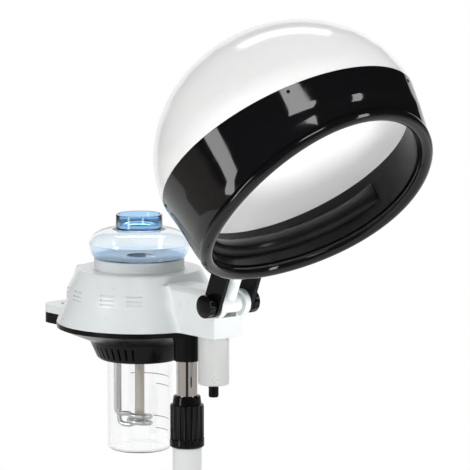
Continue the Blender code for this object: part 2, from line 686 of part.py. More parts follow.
def build_control_panel(head):
    half = PANEL_HEIGHT / 2
    body = block((-PANEL_DEPTH, -PANEL_HALF_WIDTH, -half), (0, PANEL_HALF_WIDTH, half), 1.5)
    panel = add_object("control_panel", body, WHITE, panel_place(), panel_turn(), head)
    pocket = block((ROCKER_PROUD - ROCKER_DEPTH - 3.0, ROCKER_Y - ROCKER_WIDTH / 2 - RUN, -ROCKER_LENGTH / 2 - 1.0),
                   (10, ROCKER_Y + ROCKER_WIDTH / 2 + RUN, ROCKER_LENGTH / 2 + 1.0))
    shape_with(panel, pocket, "DIFFERENCE", panel_place(), panel_turn())
    lens_hole = turned([(0, 10), (0, -LENS_DEPTH), (LENS_RADIUS + GAP, -LENS_DEPTH), (LENS_RADIUS + GAP, 10)], SMALL)
    bmesh.ops.rotate(lens_hole, verts=lens_hole.verts, cent=(0, 0, 0), matrix=Matrix.Rotation(math.radians(90), 3, "Y"))
    bmesh.ops.translate(lens_hole, vec=(0, LENS_Y, 0), verts=lens_hole.verts)
    shape_with(panel, lens_hole, "DIFFERENCE", panel_place(), panel_turn())
    rocker_axis = ROCKER_PROUD - ROCKER_DEPTH / 2
    low = -ROCKER_DEPTH / 2
    high = ROCKER_DEPTH / 2
    end = ROCKER_LENGTH / 2
    outline = [(low, -end + 1), (high + 0.8, -end), (high - 0.8, 0), (high + 0.8, end), (low, end - 1)]
    rocker = upright(outline, -ROCKER_WIDTH / 2, ROCKER_WIDTH / 2)
    add_object("power_switch", rocker, BLACK, panel_point(rocker_axis, ROCKER_Y, 0), panel_turn(), head)
    dome = [(0, 2.0), (LENS_RADIUS * 0.6, 1.4), (LENS_RADIUS, 0.2), (LENS_RADIUS, GAP - LENS_DEPTH), (0, GAP - LENS_DEPTH)]
    lens = turned(dome, SMALL)
    bmesh.ops.rotate(lens, verts=lens.verts, cent=(0, 0, 0), matrix=Matrix.Rotation(math.radians(90), 3, "Y"))
    add_object("indicator_lens", lens, AMBER, panel_point(0, LENS_Y, 0), panel_turn(), head)
    board = block((-BOARD_THICKNESS, -PANEL_HALF_WIDTH + 8, -half + 4), (0, PANEL_HALF_WIDTH - 8, half - 4))
    add_object("control_board", board, GREEN, panel_point(-PANEL_DEPTH - GAP, 0, 0), panel_turn(), head)


def build_gland(head):
    top = GLAND_BOSS_BOTTOM + GLAND_LENGTH - 2
    flange = GLAND_BOSS_BOTTOM - GAP
    profile = [(0, flange - GLAND_FLANGE), (GLAND_FLANGE_RADIUS, flange - GLAND_FLANGE), (GLAND_FLANGE_RADIUS, flange),
               (GLAND_RADIUS, flange), (GLAND_RADIUS, top), (0, top)]
    add_object("power_gland", turned(profile, SMALL), RUBBER, (-HEAD_OFFSET, GLAND_OFFSET_Y, head_z(0)), parent=head)


# Water bottle and its collar
def build_bottle_collar(head):
    low = HEAD_TOP + GAP
    spigot = TOP_OPENING - RUN
    wall = SHELL_WALL
    hole = BOTTLE_NECK_RADIUS + VALVE_CAP_WALL + 2.0
    profile = [(BOTTLE_COLLAR_RADIUS, BOTTLE_COLLAR_TOP), (BOTTLE_COLLAR_RADIUS + 1, low), (spigot, low),
               (spigot, COLLAR_FLOOR), (hole, COLLAR_FLOOR), (hole, COLLAR_FLOOR + wall),
               (COLLAR_RECESS_RADIUS, COLLAR_FLOOR + wall), (COLLAR_RECESS_RADIUS, BOTTLE_COLLAR_TOP - 9),
               (BOTTLE_COLLAR_RADIUS - wall, BOTTLE_COLLAR_TOP)]
    add_object("bottle_collar", turned(profile, FINE), WHITE, head_centre(), parent=head)


def build_bottle(bottle):
    seat = BOTTLE_COLLAR_TOP + GAP
    wall = BOTTLE_WALL
    neck_low = seat - BOTTLE_NECK_LENGTH
    rise = BOTTLE_BELLY - seat
    reach = BOTTLE_RADIUS - BOTTLE_SEAT_RADIUS
    fall = BOTTLE_SHOULDER - BOTTLE_BELLY
    lower = [(BOTTLE_SEAT_RADIUS + reach * math.sin(a), BOTTLE_BELLY - rise * math.cos(a))
             for a in (math.radians(22.5 * i) for i in range(5))]
    crown = BOTTLE_RADIUS - GRIP_RADIUS - 6.0
    upper = [(BOTTLE_RADIUS - crown * (1 - math.cos(a)), BOTTLE_BELLY + fall * math.sin(a))
             for a in (math.radians(22.5 * i) for i in range(1, 5))]
    grip = [(GRIP_RADIUS, BOTTLE_SHOULDER + 1), (GRIP_RADIUS, GRIP_TOP - 2), (GRIP_RADIUS - 1, GRIP_TOP),
            (GRIP_RADIUS - 3, GRIP_TOP), (GRIP_RADIUS - 3.5, GRIP_TOP - 2), (GRIP_RADIUS - 3.5, BOTTLE_SHOULDER + 2),
            (0, BOTTLE_SHOULDER + 1)]
    outer = [(BOTTLE_NECK_RADIUS, neck_low), (BOTTLE_NECK_RADIUS, seat + 0.5)] + lower + upper + grip
    hollow_lower = [(radius - wall, max(height, seat + wall + 0.5)) for radius, height in lower[1:]]
    hollow_upper = [(radius - wall, height - wall) for radius, height in upper]
    inner = [(0, BOTTLE_SHOULDER - wall)] + hollow_upper[::-1] + hollow_lower[::-1]
    inner += [(BOTTLE_NECK_RADIUS - wall, seat + wall + 0.5), (BOTTLE_NECK_RADIUS - wall, neck_low)]
    outline = outer + inner
    first = outline.index((0, BOTTLE_SHOULDER + 1))
    outline = outline[first + 1:] + outline[:first + 1]
    add_object("water_bottle", turned(outline, FINE), BLUE, head_centre(), parent=bottle)
    build_valve(bottle, neck_low)


def build_valve(bottle, neck_low):
    wall = VALVE_CAP_WALL
    inner = BOTTLE_NECK_RADIUS + GAP
    outer = inner + wall
    floor_top = neck_low - GAP
    floor_low = floor_top - wall
    hole = VALVE_PIN_RADIUS + GAP
    profile = [(hole, floor_low), (outer, floor_low), (outer, neck_low + BOTTLE_NECK_LENGTH - 2),
               (inner, neck_low + BOTTLE_NECK_LENGTH - 2), (inner, floor_top), (hole, floor_top)]
    add_object("bottle_valve_cap", turned(profile, ROUND), WHITE, head_centre(), parent=bottle)
    head_low = floor_top + GAP
    pin = [(0, floor_low - VALVE_PIN_DROP + 4), (VALVE_PIN_RADIUS, floor_low - VALVE_PIN_DROP + 4),
           (VALVE_PIN_RADIUS, head_low), (9, head_low), (9, head_low + 3), (0, head_low + 3)]
    add_object("valve_pin", turned(pin, SMALL), STEEL, head_centre(), parent=bottle)


# Boiler: jar, gasket, heater plate, heater and tubes
def build_boiler(head):
    wall = JAR_WALL
    rim = LEDGE - GASKET_THICKNESS - 2 * GAP
    corner = JAR_CORNER
    outer = arc((JAR_RADIUS - corner, JAR_BOTTOM + corner), corner, 270, 360, 4)
    inner = arc((JAR_RADIUS - corner, JAR_BOTTOM + corner), corner - wall, 360, 270, 4)
    jar = [(0, JAR_BOTTOM)] + outer + [(JAR_RADIUS, rim), (JAR_RADIUS - wall, rim)] + inner + [(0, JAR_BOTTOM + wall)]
    add_object("glass_jar", turned(jar, FINE), GLASS, head_centre(), parent=head)
    low = rim + GAP
    add_object("jar_gasket", turned([(JAR_RADIUS, low), (JAR_RADIUS, low + GASKET_THICKNESS),
                                     (JAR_RADIUS - wall - 2, low + GASKET_THICKNESS), (JAR_RADIUS - wall - 2, low)],
                                    ROUND), RUBBER, head_centre(), parent=head)
    plate_low = LEDGE + GAP
    plate_top = plate_low + PLATE_THICKNESS
    plate = [(FEED_TUBE_RADIUS + 3, plate_low), (PLATE_RADIUS, plate_low), (PLATE_RADIUS, plate_top),
             (FEED_TUBE_RADIUS + 3, plate_top)]
    add_object("heater_plate", turned(plate, ROUND), STEEL, head_centre(), parent=head)
    build_heater(head)
    bore = FEED_TUBE_RADIUS - FEED_TUBE_WALL
    tube_top = plate_top + 10.0
    tube_low = plate_low - FEED_TUBE_LENGTH
    feed = [(FEED_TUBE_RADIUS, tube_low), (FEED_TUBE_RADIUS, plate_low - GAP), (FEED_TUBE_RADIUS + 2.5, plate_low - GAP),
            (FEED_TUBE_RADIUS + 2.5, tube_top), (bore, tube_top), (bore, tube_low)]
    add_object("feed_tube", turned(feed, SMALL), IVORY, head_centre(), parent=head)
    stat_low = plate_top + GAP
    stat = [(0, stat_low), (THERMOSTAT_RADIUS, stat_low), (THERMOSTAT_RADIUS, stat_low + THERMOSTAT_HEIGHT / 2),
            (THERMOSTAT_RADIUS - 4, stat_low + THERMOSTAT_HEIGHT), (0, stat_low + THERMOSTAT_HEIGHT)]
    add_object("thermostat", turned(stat, SMALL), IVORY, (-HEAD_OFFSET, THERMOSTAT_OFFSET, head_z(0)), parent=head)


def heater_points():
    """One bent tube: down a leg, round the loops and up the second leg, in the head's own axes."""
    legs_at = math.radians(218.0)
    spread = math.radians(HEATER_LEG_SPREAD_DEG) / 2
    top = LEDGE
    count = 14 * HEATER_TURNS
    start = legs_at + spread
    sweep = 2 * math.pi * HEATER_TURNS - 2 * spread
    coil = []
    for i in range(count + 1):
        t = i / count
        angle = start + sweep * t
        height = HEATER_LOOP_TOP - HEATER_PITCH * HEATER_TURNS * t
        coil.append(Vector((HEATER_LOOP_RADIUS * math.cos(angle), HEATER_LOOP_RADIUS * math.sin(angle), height)))
    outer = HEATER_LEG_RADIUS
    first = Vector((outer * math.cos(start), outer * math.sin(start), 0))
    last_angle = start + sweep
    last = Vector((outer * math.cos(last_angle), outer * math.sin(last_angle), 0))
    down = smooth_path([first + Vector((0, 0, top)), first + Vector((0, 0, coil[0].z)), coil[0]], 10.0, 4)
    up = smooth_path([coil[-1], last + Vector((0, 0, coil[-1].z)), last + Vector((0, 0, top))], 10.0, 4)
    return down[:-1] + coil + up[1:]


def least_self_gap(points, radius):
    """The smallest clear distance between stretches of a tube that aren't neighbours along it."""
    lengths = [0.0]
    for before, after in zip(points, points[1:]):
        lengths.append(lengths[-1] + (after - before).length)
    least = float("inf")
    for i, one in enumerate(points):
        for j in range(i + 1, len(points)):
            if lengths[j] - lengths[i] > 6 * radius:
                least = min(least, (points[j] - one).length - 2 * radius)
    return least


def build_heater(head):
    centre = Vector(head_centre())
    points = heater_points()
    print(f"heating element least gap to itself {least_self_gap(points, HEATER_TUBE_RADIUS):.2f} mm")
    round_bar("heating_element", [centre + point for point in points], HEATER_TUBE_RADIUS, CHROME, 2, head)


def build_steam_pipe(head):
    start_x = STEAM_PIPE_OFFSET - HEAD_OFFSET
    start_z = LEDGE + 2 * GAP + PLATE_THICKNESS
    level = (PARTING + NECK_TOP) / 2 + 2.0
    end_x = HINGE_X - STEAM_SLOT_HALF - NECK_WALL - GAP
    path = smooth_path([(start_x, 0, head_z(start_z)), (start_x, 0, head_z(level)), (end_x, 0, head_z(level))], 30.0, 6)
    round_bar("steam_pipe", path, STEAM_PIPE_RADIUS, IVORY, 3, head)


# Condensate cup
def build_condensate_cup(head):
    top = PARTING - GAP
    wall = CUP_WALL
    spigot_top = PARTING + CUP_SPIGOT_HEIGHT
    nipple_low = CUP_BOTTOM - NIPPLE_LENGTH
    bore = NIPPLE_RADIUS - 2.5
    outer = [(CUP_SPIGOT_RADIUS, spigot_top), (CUP_SPIGOT_RADIUS, top), (CUP_RADIUS - 2, top), (CUP_RADIUS, top - 2),
             (CUP_RADIUS, CUP_BOTTOM + 3), (CUP_RADIUS - 3, CUP_BOTTOM), (NIPPLE_RADIUS, CUP_BOTTOM),
             (NIPPLE_RADIUS, nipple_low)]
    inner = [(bore, nipple_low), (bore, CUP_BOTTOM + wall), (CUP_RADIUS - 3 - wall, CUP_BOTTOM + wall),
             (CUP_RADIUS - wall, CUP_BOTTOM + 5), (CUP_RADIUS - wall, top - 4), (CUP_SPIGOT_RADIUS - wall, top - 3),
             (CUP_SPIGOT_RADIUS - wall, spigot_top)]
    place = (CUP_X, 0, head_z(0))
    add_object("condensate_cup", turned(outer + inner, ROUND), CLOUDY, place, parent=head)
    cap_top = CUP_BOTTOM - RUN
    cap_low = cap_top - DRAIN_CAP_HEIGHT
    socket = NIPPLE_RADIUS + GAP
    floor = nipple_low - GAP
    cap = [(0, cap_low), (DRAIN_CAP_RADIUS - 0.8, cap_low), (DRAIN_CAP_RADIUS, cap_low + 2), (DRAIN_CAP_RADIUS, cap_top),
           (socket, cap_top), (socket, floor), (0, floor)]
    add_object("drain_cap", turned(cap, SMALL), BLACK, place, parent=head)


# Hood
def hood_turn():
    return (0, -math.radians(HOOD_TILT_DEG), 0)


def hood_place():
    return (HOOD_X, 0, head_z(HOOD_Z))


def hood_point(x, y, z):
    """A point given in the hood's own axes, in the world."""
    tilt = math.radians(HOOD_TILT_DEG)
    forward = Vector((math.cos(tilt), 0, math.sin(tilt)))
    up = Vector((-math.sin(tilt), 0, math.cos(tilt)))
    return Vector(hood_place()) + forward * x + Vector((0, y, 0)) + up * z


def lip_depth(angle):
    """How far the lip's middle lies below the seam; the front is cut higher for the face."""
    return LIP_DEPTH - LIP_REAR_DROP * math.cos(angle) - LIP_SIDE_DROP * math.cos(2 * angle)


def ring_outer(depth):
    return RING_TOP_RADIUS - RING_TAPER * depth / LIP_DEPTH


def follow_lip(bm, fixed_above):
    """Bends the lower part of a turned ring so that it follows the lip's curved edge."""
    for corner in bm.verts:
        depth = -corner.co.z
        if depth > fixed_above:
            angle = math.atan2(corner.co.y, corner.co.x)
            share = min(1.0, (depth - fixed_above) / (LIP_DEPTH - LIP_RADIUS - 8.0 - fixed_above))
            corner.co.z -= share * (lip_depth(angle) - LIP_DEPTH)


def build_dome(hood):
    wall = DOME_WALL
    inset = RING_WALL + RUN
    steps = 8
    angles = [math.radians(90 * i / steps) for i in range(steps + 1)]
    outer = [(DOME_RADIUS * math.cos(a), GAP + DOME_HEIGHT * math.sin(a)) for a in angles]
    outer[-1] = (0, DOME_HEIGHT + GAP)
    skirt_top = ring_outer(0) - inset
    skirt_low = ring_outer(SKIRT_DEPTH) - inset
    inner = [((skirt_top - wall) * math.cos(a), (DOME_HEIGHT - wall) * math.sin(a)) for a in angles]
    inner[-1] = (0, DOME_HEIGHT - wall)
    skirt = [(skirt_low - wall, -SKIRT_DEPTH), (skirt_low, -SKIRT_DEPTH), (skirt_top, GAP)]
    add_object("hood_dome", turned(inner[::-1] + skirt + outer, FINE), MILK, hood_place(), hood_turn(), hood)


def build_ring(hood):
    lip = (LIP_CENTRE_RADIUS, -LIP_DEPTH)
    bead = arc(lip, LIP_RADIUS, 30, -180, 8)
    wall = RING_WALL
    neck_depth = LIP_DEPTH - LIP_RADIUS - 6.0
    profile = [(ring_outer(0), 0), (ring_outer(SKIRT_DEPTH), -SKIRT_DEPTH), (ring_outer(neck_depth), -neck_depth)] + bead
    profile += [(LIP_CENTRE_RADIUS - LIP_RADIUS + 1, 4 - LIP_DEPTH), (LIP_CENTRE_RADIUS, LIP_RADIUS - LIP_DEPTH),
                (ring_outer(neck_depth) - wall, -neck_depth), (ring_outer(SKIRT_DEPTH) - wall, -SKIRT_DEPTH),
                (ring_outer(0) - wall, 0)]
    bm = turned(profile, FINE)
    follow_lip(bm, SKIRT_DEPTH + LINER_FLANGE + 2)
    add_object("hood_ring", bm, BLACK, hood_place(), hood_turn(), hood)


def ring_envelope(clear):
    """The ring's whole outline, grown by a clearance, to seat other pieces against it."""
    neck_depth = LIP_DEPTH - LIP_RADIUS - 6.0
    bead = arc((LIP_CENTRE_RADIUS, -LIP_DEPTH), LIP_RADIUS + clear, 30, -90, 5)
    profile = [(0, 5), (ring_outer(0) + clear, 5), (ring_outer(0) + clear, 0),
               (ring_outer(SKIRT_DEPTH) + clear, -SKIRT_DEPTH), (ring_outer(neck_depth) + clear, -neck_depth)]
    bm = turned(profile + bead + [(0, -LIP_DEPTH - LIP_RADIUS - clear)], FINE)
    follow_lip(bm, SKIRT_DEPTH + LINER_FLANGE + 2)
    return bm


def liner_radius(depth):
    """The liner's inner face, drawn in a little towards the lip."""
    bottom = LIP_CENTRE_RADIUS - LIP_RADIUS - LINER_WALL + 1.0
    share = (depth - SKIRT_DEPTH) / (LIP_DEPTH - SKIRT_DEPTH)
    return LINER_TOP_RADIUS + share * (bottom - LINER_TOP_RADIUS)


def build_liner(hood):
    top = SKIRT_DEPTH + GAP
    flange_low = top + LINER_FLANGE
    low = LIP_DEPTH - LIP_RADIUS + 4.0
    reach = ring_outer(flange_low) - RING_WALL - 2 * RUN
    wall = LINER_WALL
    profile = [(liner_radius(top), -top), (reach, -top), (reach, -flange_low),
               (liner_radius(flange_low) + wall, -flange_low), (liner_radius(low) + wall - 1.0, -low),
               (liner_radius(low) - 1.0, -low)]
    bm = turned(profile, FINE)
    follow_lip(bm, SKIRT_DEPTH + LINER_FLANGE + 2)
    add_object("hood_liner", bm, BLACK, hood_place(), hood_turn(), hood)


def build_steam_channel(hood):
    """A rounded duct on the liner's rear wall, swept along the lip's curve."""
    steps = 28
    half = math.radians(CHANNEL_HALF_ANGLE_DEG)
    bm = bmesh.new()
    rows = []
    for i in range(steps + 1):
        angle = math.pi - half + 2 * half * i / steps
        low = lip_depth(angle) - LIP_RADIUS - CHANNEL_ABOVE_LIP
        ends = 1.0 - 0.75 * abs(2 * i / steps - 1) ** 6
        section = [(0, 0), (CHANNEL_DEPTH * 0.7 * ends, 3), (CHANNEL_DEPTH * ends, 10),
                   (CHANNEL_DEPTH * 0.8 * ends, CHANNEL_HEIGHT - 6), (0, CHANNEL_HEIGHT)]
        row = []
        for inward, rise in section:
            depth = low - rise
            scaled = SKIRT_DEPTH + (depth - SKIRT_DEPTH) * (LIP_DEPTH - SKIRT_DEPTH) / (lip_depth(angle) - SKIRT_DEPTH)
            radius = liner_radius(scaled) - 1.0 - GAP - inward
            row.append(bm.verts.new((radius * math.cos(angle), radius * math.sin(angle), -depth)))
        rows.append(row)
    for before, after in zip(rows, rows[1:]):
        for k in range(len(before)):
            following = (k + 1) % len(before)
            bm.faces.new((before[k], before[following], after[following], after[k]))
    bm.faces.new(rows[0])
    bm.faces.new(rows[-1][::-1])
    add_object("steam_channel", bm, BLACK, hood_place(), hood_turn(), hood)


# Tilt hinge: bracket, pins, knobs and steam elbow
def build_bracket(hood):
    inner = NECK_HALF_WIDTH + 2 * GAP
    outer = inner + ARM_THICKNESS
    pad = hood_point(-ring_outer(PAD_BELOW_SEAM), 0, -PAD_BELOW_SEAM) - Vector((0, 0, COLLAR_TOP))
    hinge = Vector((HINGE_X, 0, HINGE_Z))
    run = (pad - hinge).normalized()
    side = Vector((run.z, 0, -run.x))
    half = ARM_WIDTH / 2
    far = (pad - hinge).length - 2.0
    round_end = arc((0, 0), half, 90, 270, 8)
    outline = round_end + [(far, -half), (far, half)]
    flat = [hinge + run * u - side * v for u, v in outline]
    arms = bmesh.new()
    for sign in (-1, 1):
        low, high = sorted((sign * inner, sign * outer))
        merge_into(arms, upright([(point.x, point.z) for point in flat], low, high))
    bracket = add_object("hinge_bracket", arms, BLACK, (0, 0, COLLAR_TOP), parent=hood)
    slab = block((-PAD_THICKNESS - PAD_BACK, -outer, -PAD_HALF_HEIGHT), (8.0, outer, PAD_HALF_HEIGHT))
    shape_with(bracket, slab, "UNION", pad + Vector((0, 0, COLLAR_TOP)), hood_turn())
    shape_with(bracket, ring_envelope(GAP), "DIFFERENCE", hood_place(), hood_turn())
    hole = turned([(0, -60), (PIN_RADIUS + GAP, -60), (PIN_RADIUS + GAP, 60), (0, 60)], SMALL)
    shape_with(bracket, along_y(hole, tuple(hinge)), "DIFFERENCE", (0, 0, COLLAR_TOP))


def build_pins_and_knobs(hood, head):
    inner = NECK_HALF_WIDTH - LUG_THICKNESS + 1.0
    face = NECK_HALF_WIDTH + 3 * GAP + ARM_THICKNESS
    place = (HINGE_X, 0, head_z(HINGE_Z))
    for name, sign in (("left", -1), ("right", 1)):
        end = face + KNOB_THICKNESS - 5.0
        low, high = sorted((sign * inner, sign * end))
        pin = turned([(0, low), (PIN_RADIUS, low), (PIN_RADIUS, high), (0, high)], SMALL)
        add_object(f"hinge_pin_{name}", along_y(pin), STEEL, place, parent=head)
        socket = PIN_RADIUS + GAP
        outer = face + KNOB_THICKNESS
        profile = [(socket, face), (KNOB_RADIUS - 5, face), (KNOB_RADIUS, face + 3), (KNOB_RADIUS, outer - 2),
                   (KNOB_RADIUS - 2, outer), (0, outer), (0, end + GAP), (socket, end + GAP)]
        first = profile.index((0, end + GAP))
        knob = turned([(radius, sign * height) for radius, height in profile[first:] + profile[:first]], KNOB_LOBES * 3)
        for corner in knob.verts:
            flat = Vector((corner.co.x, corner.co.y, 0))
            if abs(flat.length - KNOB_RADIUS) < 0.01:
                wave = 0.5 - 0.5 * math.cos(math.atan2(flat.y, flat.x) * KNOB_LOBES)
                corner.co -= flat.normalized() * KNOB_LOBE_DEPTH * wave
        add_object(f"hinge_knob_{name}", along_y(knob), BLACK, place, parent=hood)


def build_steam_elbow(hood):
    """A barrel on the hinge axis with a tube up to the hood's rear wall."""
    hinge = Vector((HINGE_X, 0, head_z(HINGE_Z)))
    pad = hood_point(-ring_outer(PAD_BELOW_SEAM), 0, -PAD_BELOW_SEAM)
    half = STEAM_SLOT_HALF - RUN
    barrel = turned([(0, -half), (STEAM_BARREL_RADIUS, -half), (STEAM_BARREL_RADIUS, half), (0, half)], ROUND)
    elbow = add_object("steam_elbow", along_y(barrel), WHITE, hinge, parent=hood)
    run = pad - hinge
    tube = turned([(0, 0), (STEAM_TUBE_RADIUS, 0), (STEAM_TUBE_RADIUS, run.length), (0, run.length)], SMALL)
    lean = math.atan2(run.x, run.z)
    shape_with(elbow, tube, "UNION", hinge, (0, lean, 0))
    beyond = block((-PAD_THICKNESS - PAD_BACK - GAP, -50, -80), (100, 50, 80))
    shape_with(elbow, beyond, "DIFFERENCE", pad, hood_turn())


def main():
    clear_scene()
    build_base()
    build_column()
    mast = pivot("mast_slide", (0, 0, COLLAR_TOP))
    head = pivot("head_swivel", (0, 0, COLLAR_TOP), mast)
    hood = pivot("hood_tilt", (HINGE_X, 0, head_z(HINGE_Z)), head)
    bottle = pivot("bottle_lift", head_centre(), head)
    build_mast(mast)
    build_lower_shell(head)
    build_upper_housing(head)
    build_control_panel(head)
    build_gland(head)
    build_bottle_collar(head)
    build_bottle(bottle)
    build_boiler(head)
    build_steam_pipe(head)
    build_condensate_cup(head)
    build_dome(hood)
    build_ring(hood)
    build_liner(hood)
    build_steam_channel(hood)
    build_bracket(hood)
    build_pins_and_knobs(hood, head)
    build_steam_elbow(hood)


main()
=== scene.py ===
# %% [markdown]
# # A floor-standing hair steamer
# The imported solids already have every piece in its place, so this lesson gives them the surfaces that a
# camera sees. Round pieces are turned again from their outlines with many more steps, because a facet shows
# first in a reflection. Pieces with flat walls are copied, merged and given eased edges, because a moulded
# edge always catches a line of light.

import json
import math

import bmesh
import bpy
from mathutils import Matrix, Vector


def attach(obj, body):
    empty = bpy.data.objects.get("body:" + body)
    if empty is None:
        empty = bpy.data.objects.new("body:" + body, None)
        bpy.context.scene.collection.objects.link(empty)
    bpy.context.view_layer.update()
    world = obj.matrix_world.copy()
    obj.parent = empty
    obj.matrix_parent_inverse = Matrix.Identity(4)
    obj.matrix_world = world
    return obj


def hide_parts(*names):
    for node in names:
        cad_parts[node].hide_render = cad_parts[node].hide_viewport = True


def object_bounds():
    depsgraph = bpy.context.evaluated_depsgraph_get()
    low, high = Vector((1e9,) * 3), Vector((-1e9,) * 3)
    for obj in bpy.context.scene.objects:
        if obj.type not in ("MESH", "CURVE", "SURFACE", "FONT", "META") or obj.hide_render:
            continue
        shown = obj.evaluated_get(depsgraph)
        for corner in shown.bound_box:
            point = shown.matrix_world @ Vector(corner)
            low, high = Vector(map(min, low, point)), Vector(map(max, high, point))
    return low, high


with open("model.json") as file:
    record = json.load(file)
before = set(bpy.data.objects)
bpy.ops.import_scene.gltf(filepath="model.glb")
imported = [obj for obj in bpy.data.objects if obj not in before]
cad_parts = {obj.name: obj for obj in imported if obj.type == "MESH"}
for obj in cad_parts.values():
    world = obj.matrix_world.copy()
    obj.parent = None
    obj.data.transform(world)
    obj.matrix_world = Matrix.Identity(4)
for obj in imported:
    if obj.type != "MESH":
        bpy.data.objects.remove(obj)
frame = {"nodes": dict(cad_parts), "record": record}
cad_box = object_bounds()
record = frame["record"]
body_of = {node: body for body, nodes in record["behaviour"]["bodies"].items() for node in nodes}
slot_of = {entry["node"]: entry["material_slot"] for entry in record["subparts"]}

# %% [markdown]
# ## Sizes
# These are the drawing's own sizes in millimetres, so that a finer copy of a piece lands exactly on its
# solid. Heights on the head count from the twist collar's top, and the hood has axes of its own along the
# dome.

# %% Sizes in millimetres
MM = 0.001
GAP = 0.3
RUN = 0.5
COLLAR_TOP = 640.0
HEAD_OFFSET = 108.0

COLUMN_RADIUS = 21.0
COLUMN_WALL = 2.5
COLUMN_LOW = 30.3
COLUMN_TOP = -22.3
MAST_RADIUS = 15.5
MAST_WALL = 1.8
MAST_LOW = -400.0
MAST_TOP = 90.2
COLLAR_HEIGHT = 75.0
COLLAR_NECK_RADIUS = 19.5
COLLAR_NECK_HEIGHT = 12.0
COLLAR_RIB_RADIUS = 24.4
COLLAR_RIB_DEPTH = 1.6
COLLAR_RIBS = 16
COLLAR_BAND_RADIUS = 25.0
COLLAR_BAND_HEIGHT = 12.0
COLLAR_SHOULDER = 22.0

BOTTLE_COLLAR_RADIUS = 65.5
BOTTLE_COLLAR_TOP = 188.0
BOTTLE_COLLAR_LOW = 172.8
COLLAR_SPIGOT = 59.5
COLLAR_RECESS_RADIUS = 56.6
COLLAR_FLOOR = 160.0
COLLAR_HOLE = 24.5
COLLAR_WALL = 3.0
COLLAR_FINE_RIBS = 120
COLLAR_FINE_RIB_DEPTH = 0.6
BOTTLE_RADIUS = 72.5
BOTTLE_SEAT_RADIUS = 64.0
BOTTLE_BELLY = 209.0
BOTTLE_SHOULDER = 230.0
BOTTLE_WALL = 2.0
BOTTLE_NECK_RADIUS = 20.0
BOTTLE_NECK_LENGTH = 15.0
GRIP_RADIUS = 33.8
GRIP_TOP = 251.5

JAR_RADIUS = 47.0
JAR_WALL = 3.0
JAR_BOTTOM = -94.0
JAR_RIM = 58.9
JAR_CORNER = 9.0
JAR_MARKS = ((9.5, 62.0, 158.0), (-5.0, 62.0, 108.0), (-53.0, 62.0, 114.0), (-71.0, 72.0, 108.0))
JAR_MARK_HEIGHT = 1.1
PRINT_THICKNESS = 0.12
FEED_TUBE_RADIUS = 7.0
FEED_TUBE_BORE = 5.5
FEED_TUBE_LOW = -50.7
FEED_TUBE_TOP = 76.3
FEED_COLLAR_LOW = 62.0
FEED_COLLAR_RADIUS = 9.5
HEATER_BEND = 10.0
HEATER_TUBE_RADIUS = 3.6
HEATER_LOOP_RADIUS = 15.5
HEATER_TURNS = 2
HEATER_PITCH = 9.0
HEATER_LOOP_TOP = -42.0
HEATER_LEG_RADIUS = 34.0
HEATER_LEGS_AT_DEG = 218.0
HEATER_LEG_SPREAD_DEG = 28.0
LEDGE = 62.0

PARTING = 95.0
RIM_RADIUS = 120.5
SHOULDER_RADIUS = 106.0
SHOULDER_BOTTOM = 128.0
SHOULDER_TOP = 143.0
SHOULDER_LEAN = 1.0
TOP_RADIUS = 92.0
TOP_EDGE = 169.5
NECK_HALF_WIDTH = 26.0
NECK_TOP = 163.0
NECK_FILLET = 14.0
FRONT_LOUVRES_DEG = (295.0, 317.0)
LOUVRE_MIDDLE = 139.5
LOUVRE_PITCH = 6.2
LOUVRE_HEIGHT = 2.6
LOUVRE_WIDTH = 23.0
LOUVRE_DEPTH = 2.6
LOUVRE_BACK_DEG = (202.0, 274.0)
LOUVRE_BACK_WALL = 1.5
CUTTER_REACH = 30.0
FRONT_GROOVES_DEG = (295.0, 304.0, 313.0)
GROOVE_FLOOR = 60.3
GROOVE_WIDTH = 3.0
GROOVE_SPAN = (45.5, 63.0)

CUP_X = 59.5
CUP_RADIUS = 22.3
CUP_TOP = 94.7
CUP_BOTTOM = 24.5
CUP_WALL = 2.0
CUP_SPIGOT_RADIUS = 12.0
CUP_SPIGOT_TOP = 103.0
NIPPLE_RADIUS = 6.0
NIPPLE_WALL = 2.5
NIPPLE_LOW = 14.0

HOOD_X = 222.0
HOOD_Z = 382.0
HOOD_TILT_DEG = 40.0
DOME_RADIUS = 191.5
DOME_HEIGHT = 167.0
DOME_WALL = 2.5
RING_TOP_RADIUS = 191.5
RING_TAPER = 11.5
RING_WALL = 3.0
LIP_DEPTH = 88.0
LIP_REAR_DROP = 16.0
LIP_SIDE_DROP = 7.6
LIP_RADIUS = 9.5
LIP_CENTRE_RADIUS = 171.0
SKIRT_DEPTH = 33.0
LINER_TOP_RADIUS = 166.0
LINER_WALL = 2.5
LINER_FLANGE = 2.5
CHANNEL_HALF_ANGLE_DEG = 74.0
CHANNEL_DEPTH = 12.0
CHANNEL_HEIGHT = 30.0
CHANNEL_ABOVE_LIP = 12.0
SCREW_RADIUS = 2.6
RING_SCREWS = ((-35.0, 7.0), (34.0, 9.0), (126.0, 7.0), (-126.0, 7.0), (-136.0, 63.0), (136.0, 63.0))

HINGE_X = 92.0
HINGE_Z = 145.0
KNOB_RADIUS = 17.0
KNOB_INNER = 32.9
KNOB_OUTER = 45.9
KNOB_SOCKET = 5.3
KNOB_FLOOR = 41.2
KNOB_LOBES = 10
KNOB_LOBE_DEPTH = 1.2

SMOOTH = 128
TUBE_STEPS = 72
EDGE_ROUND = 0.5

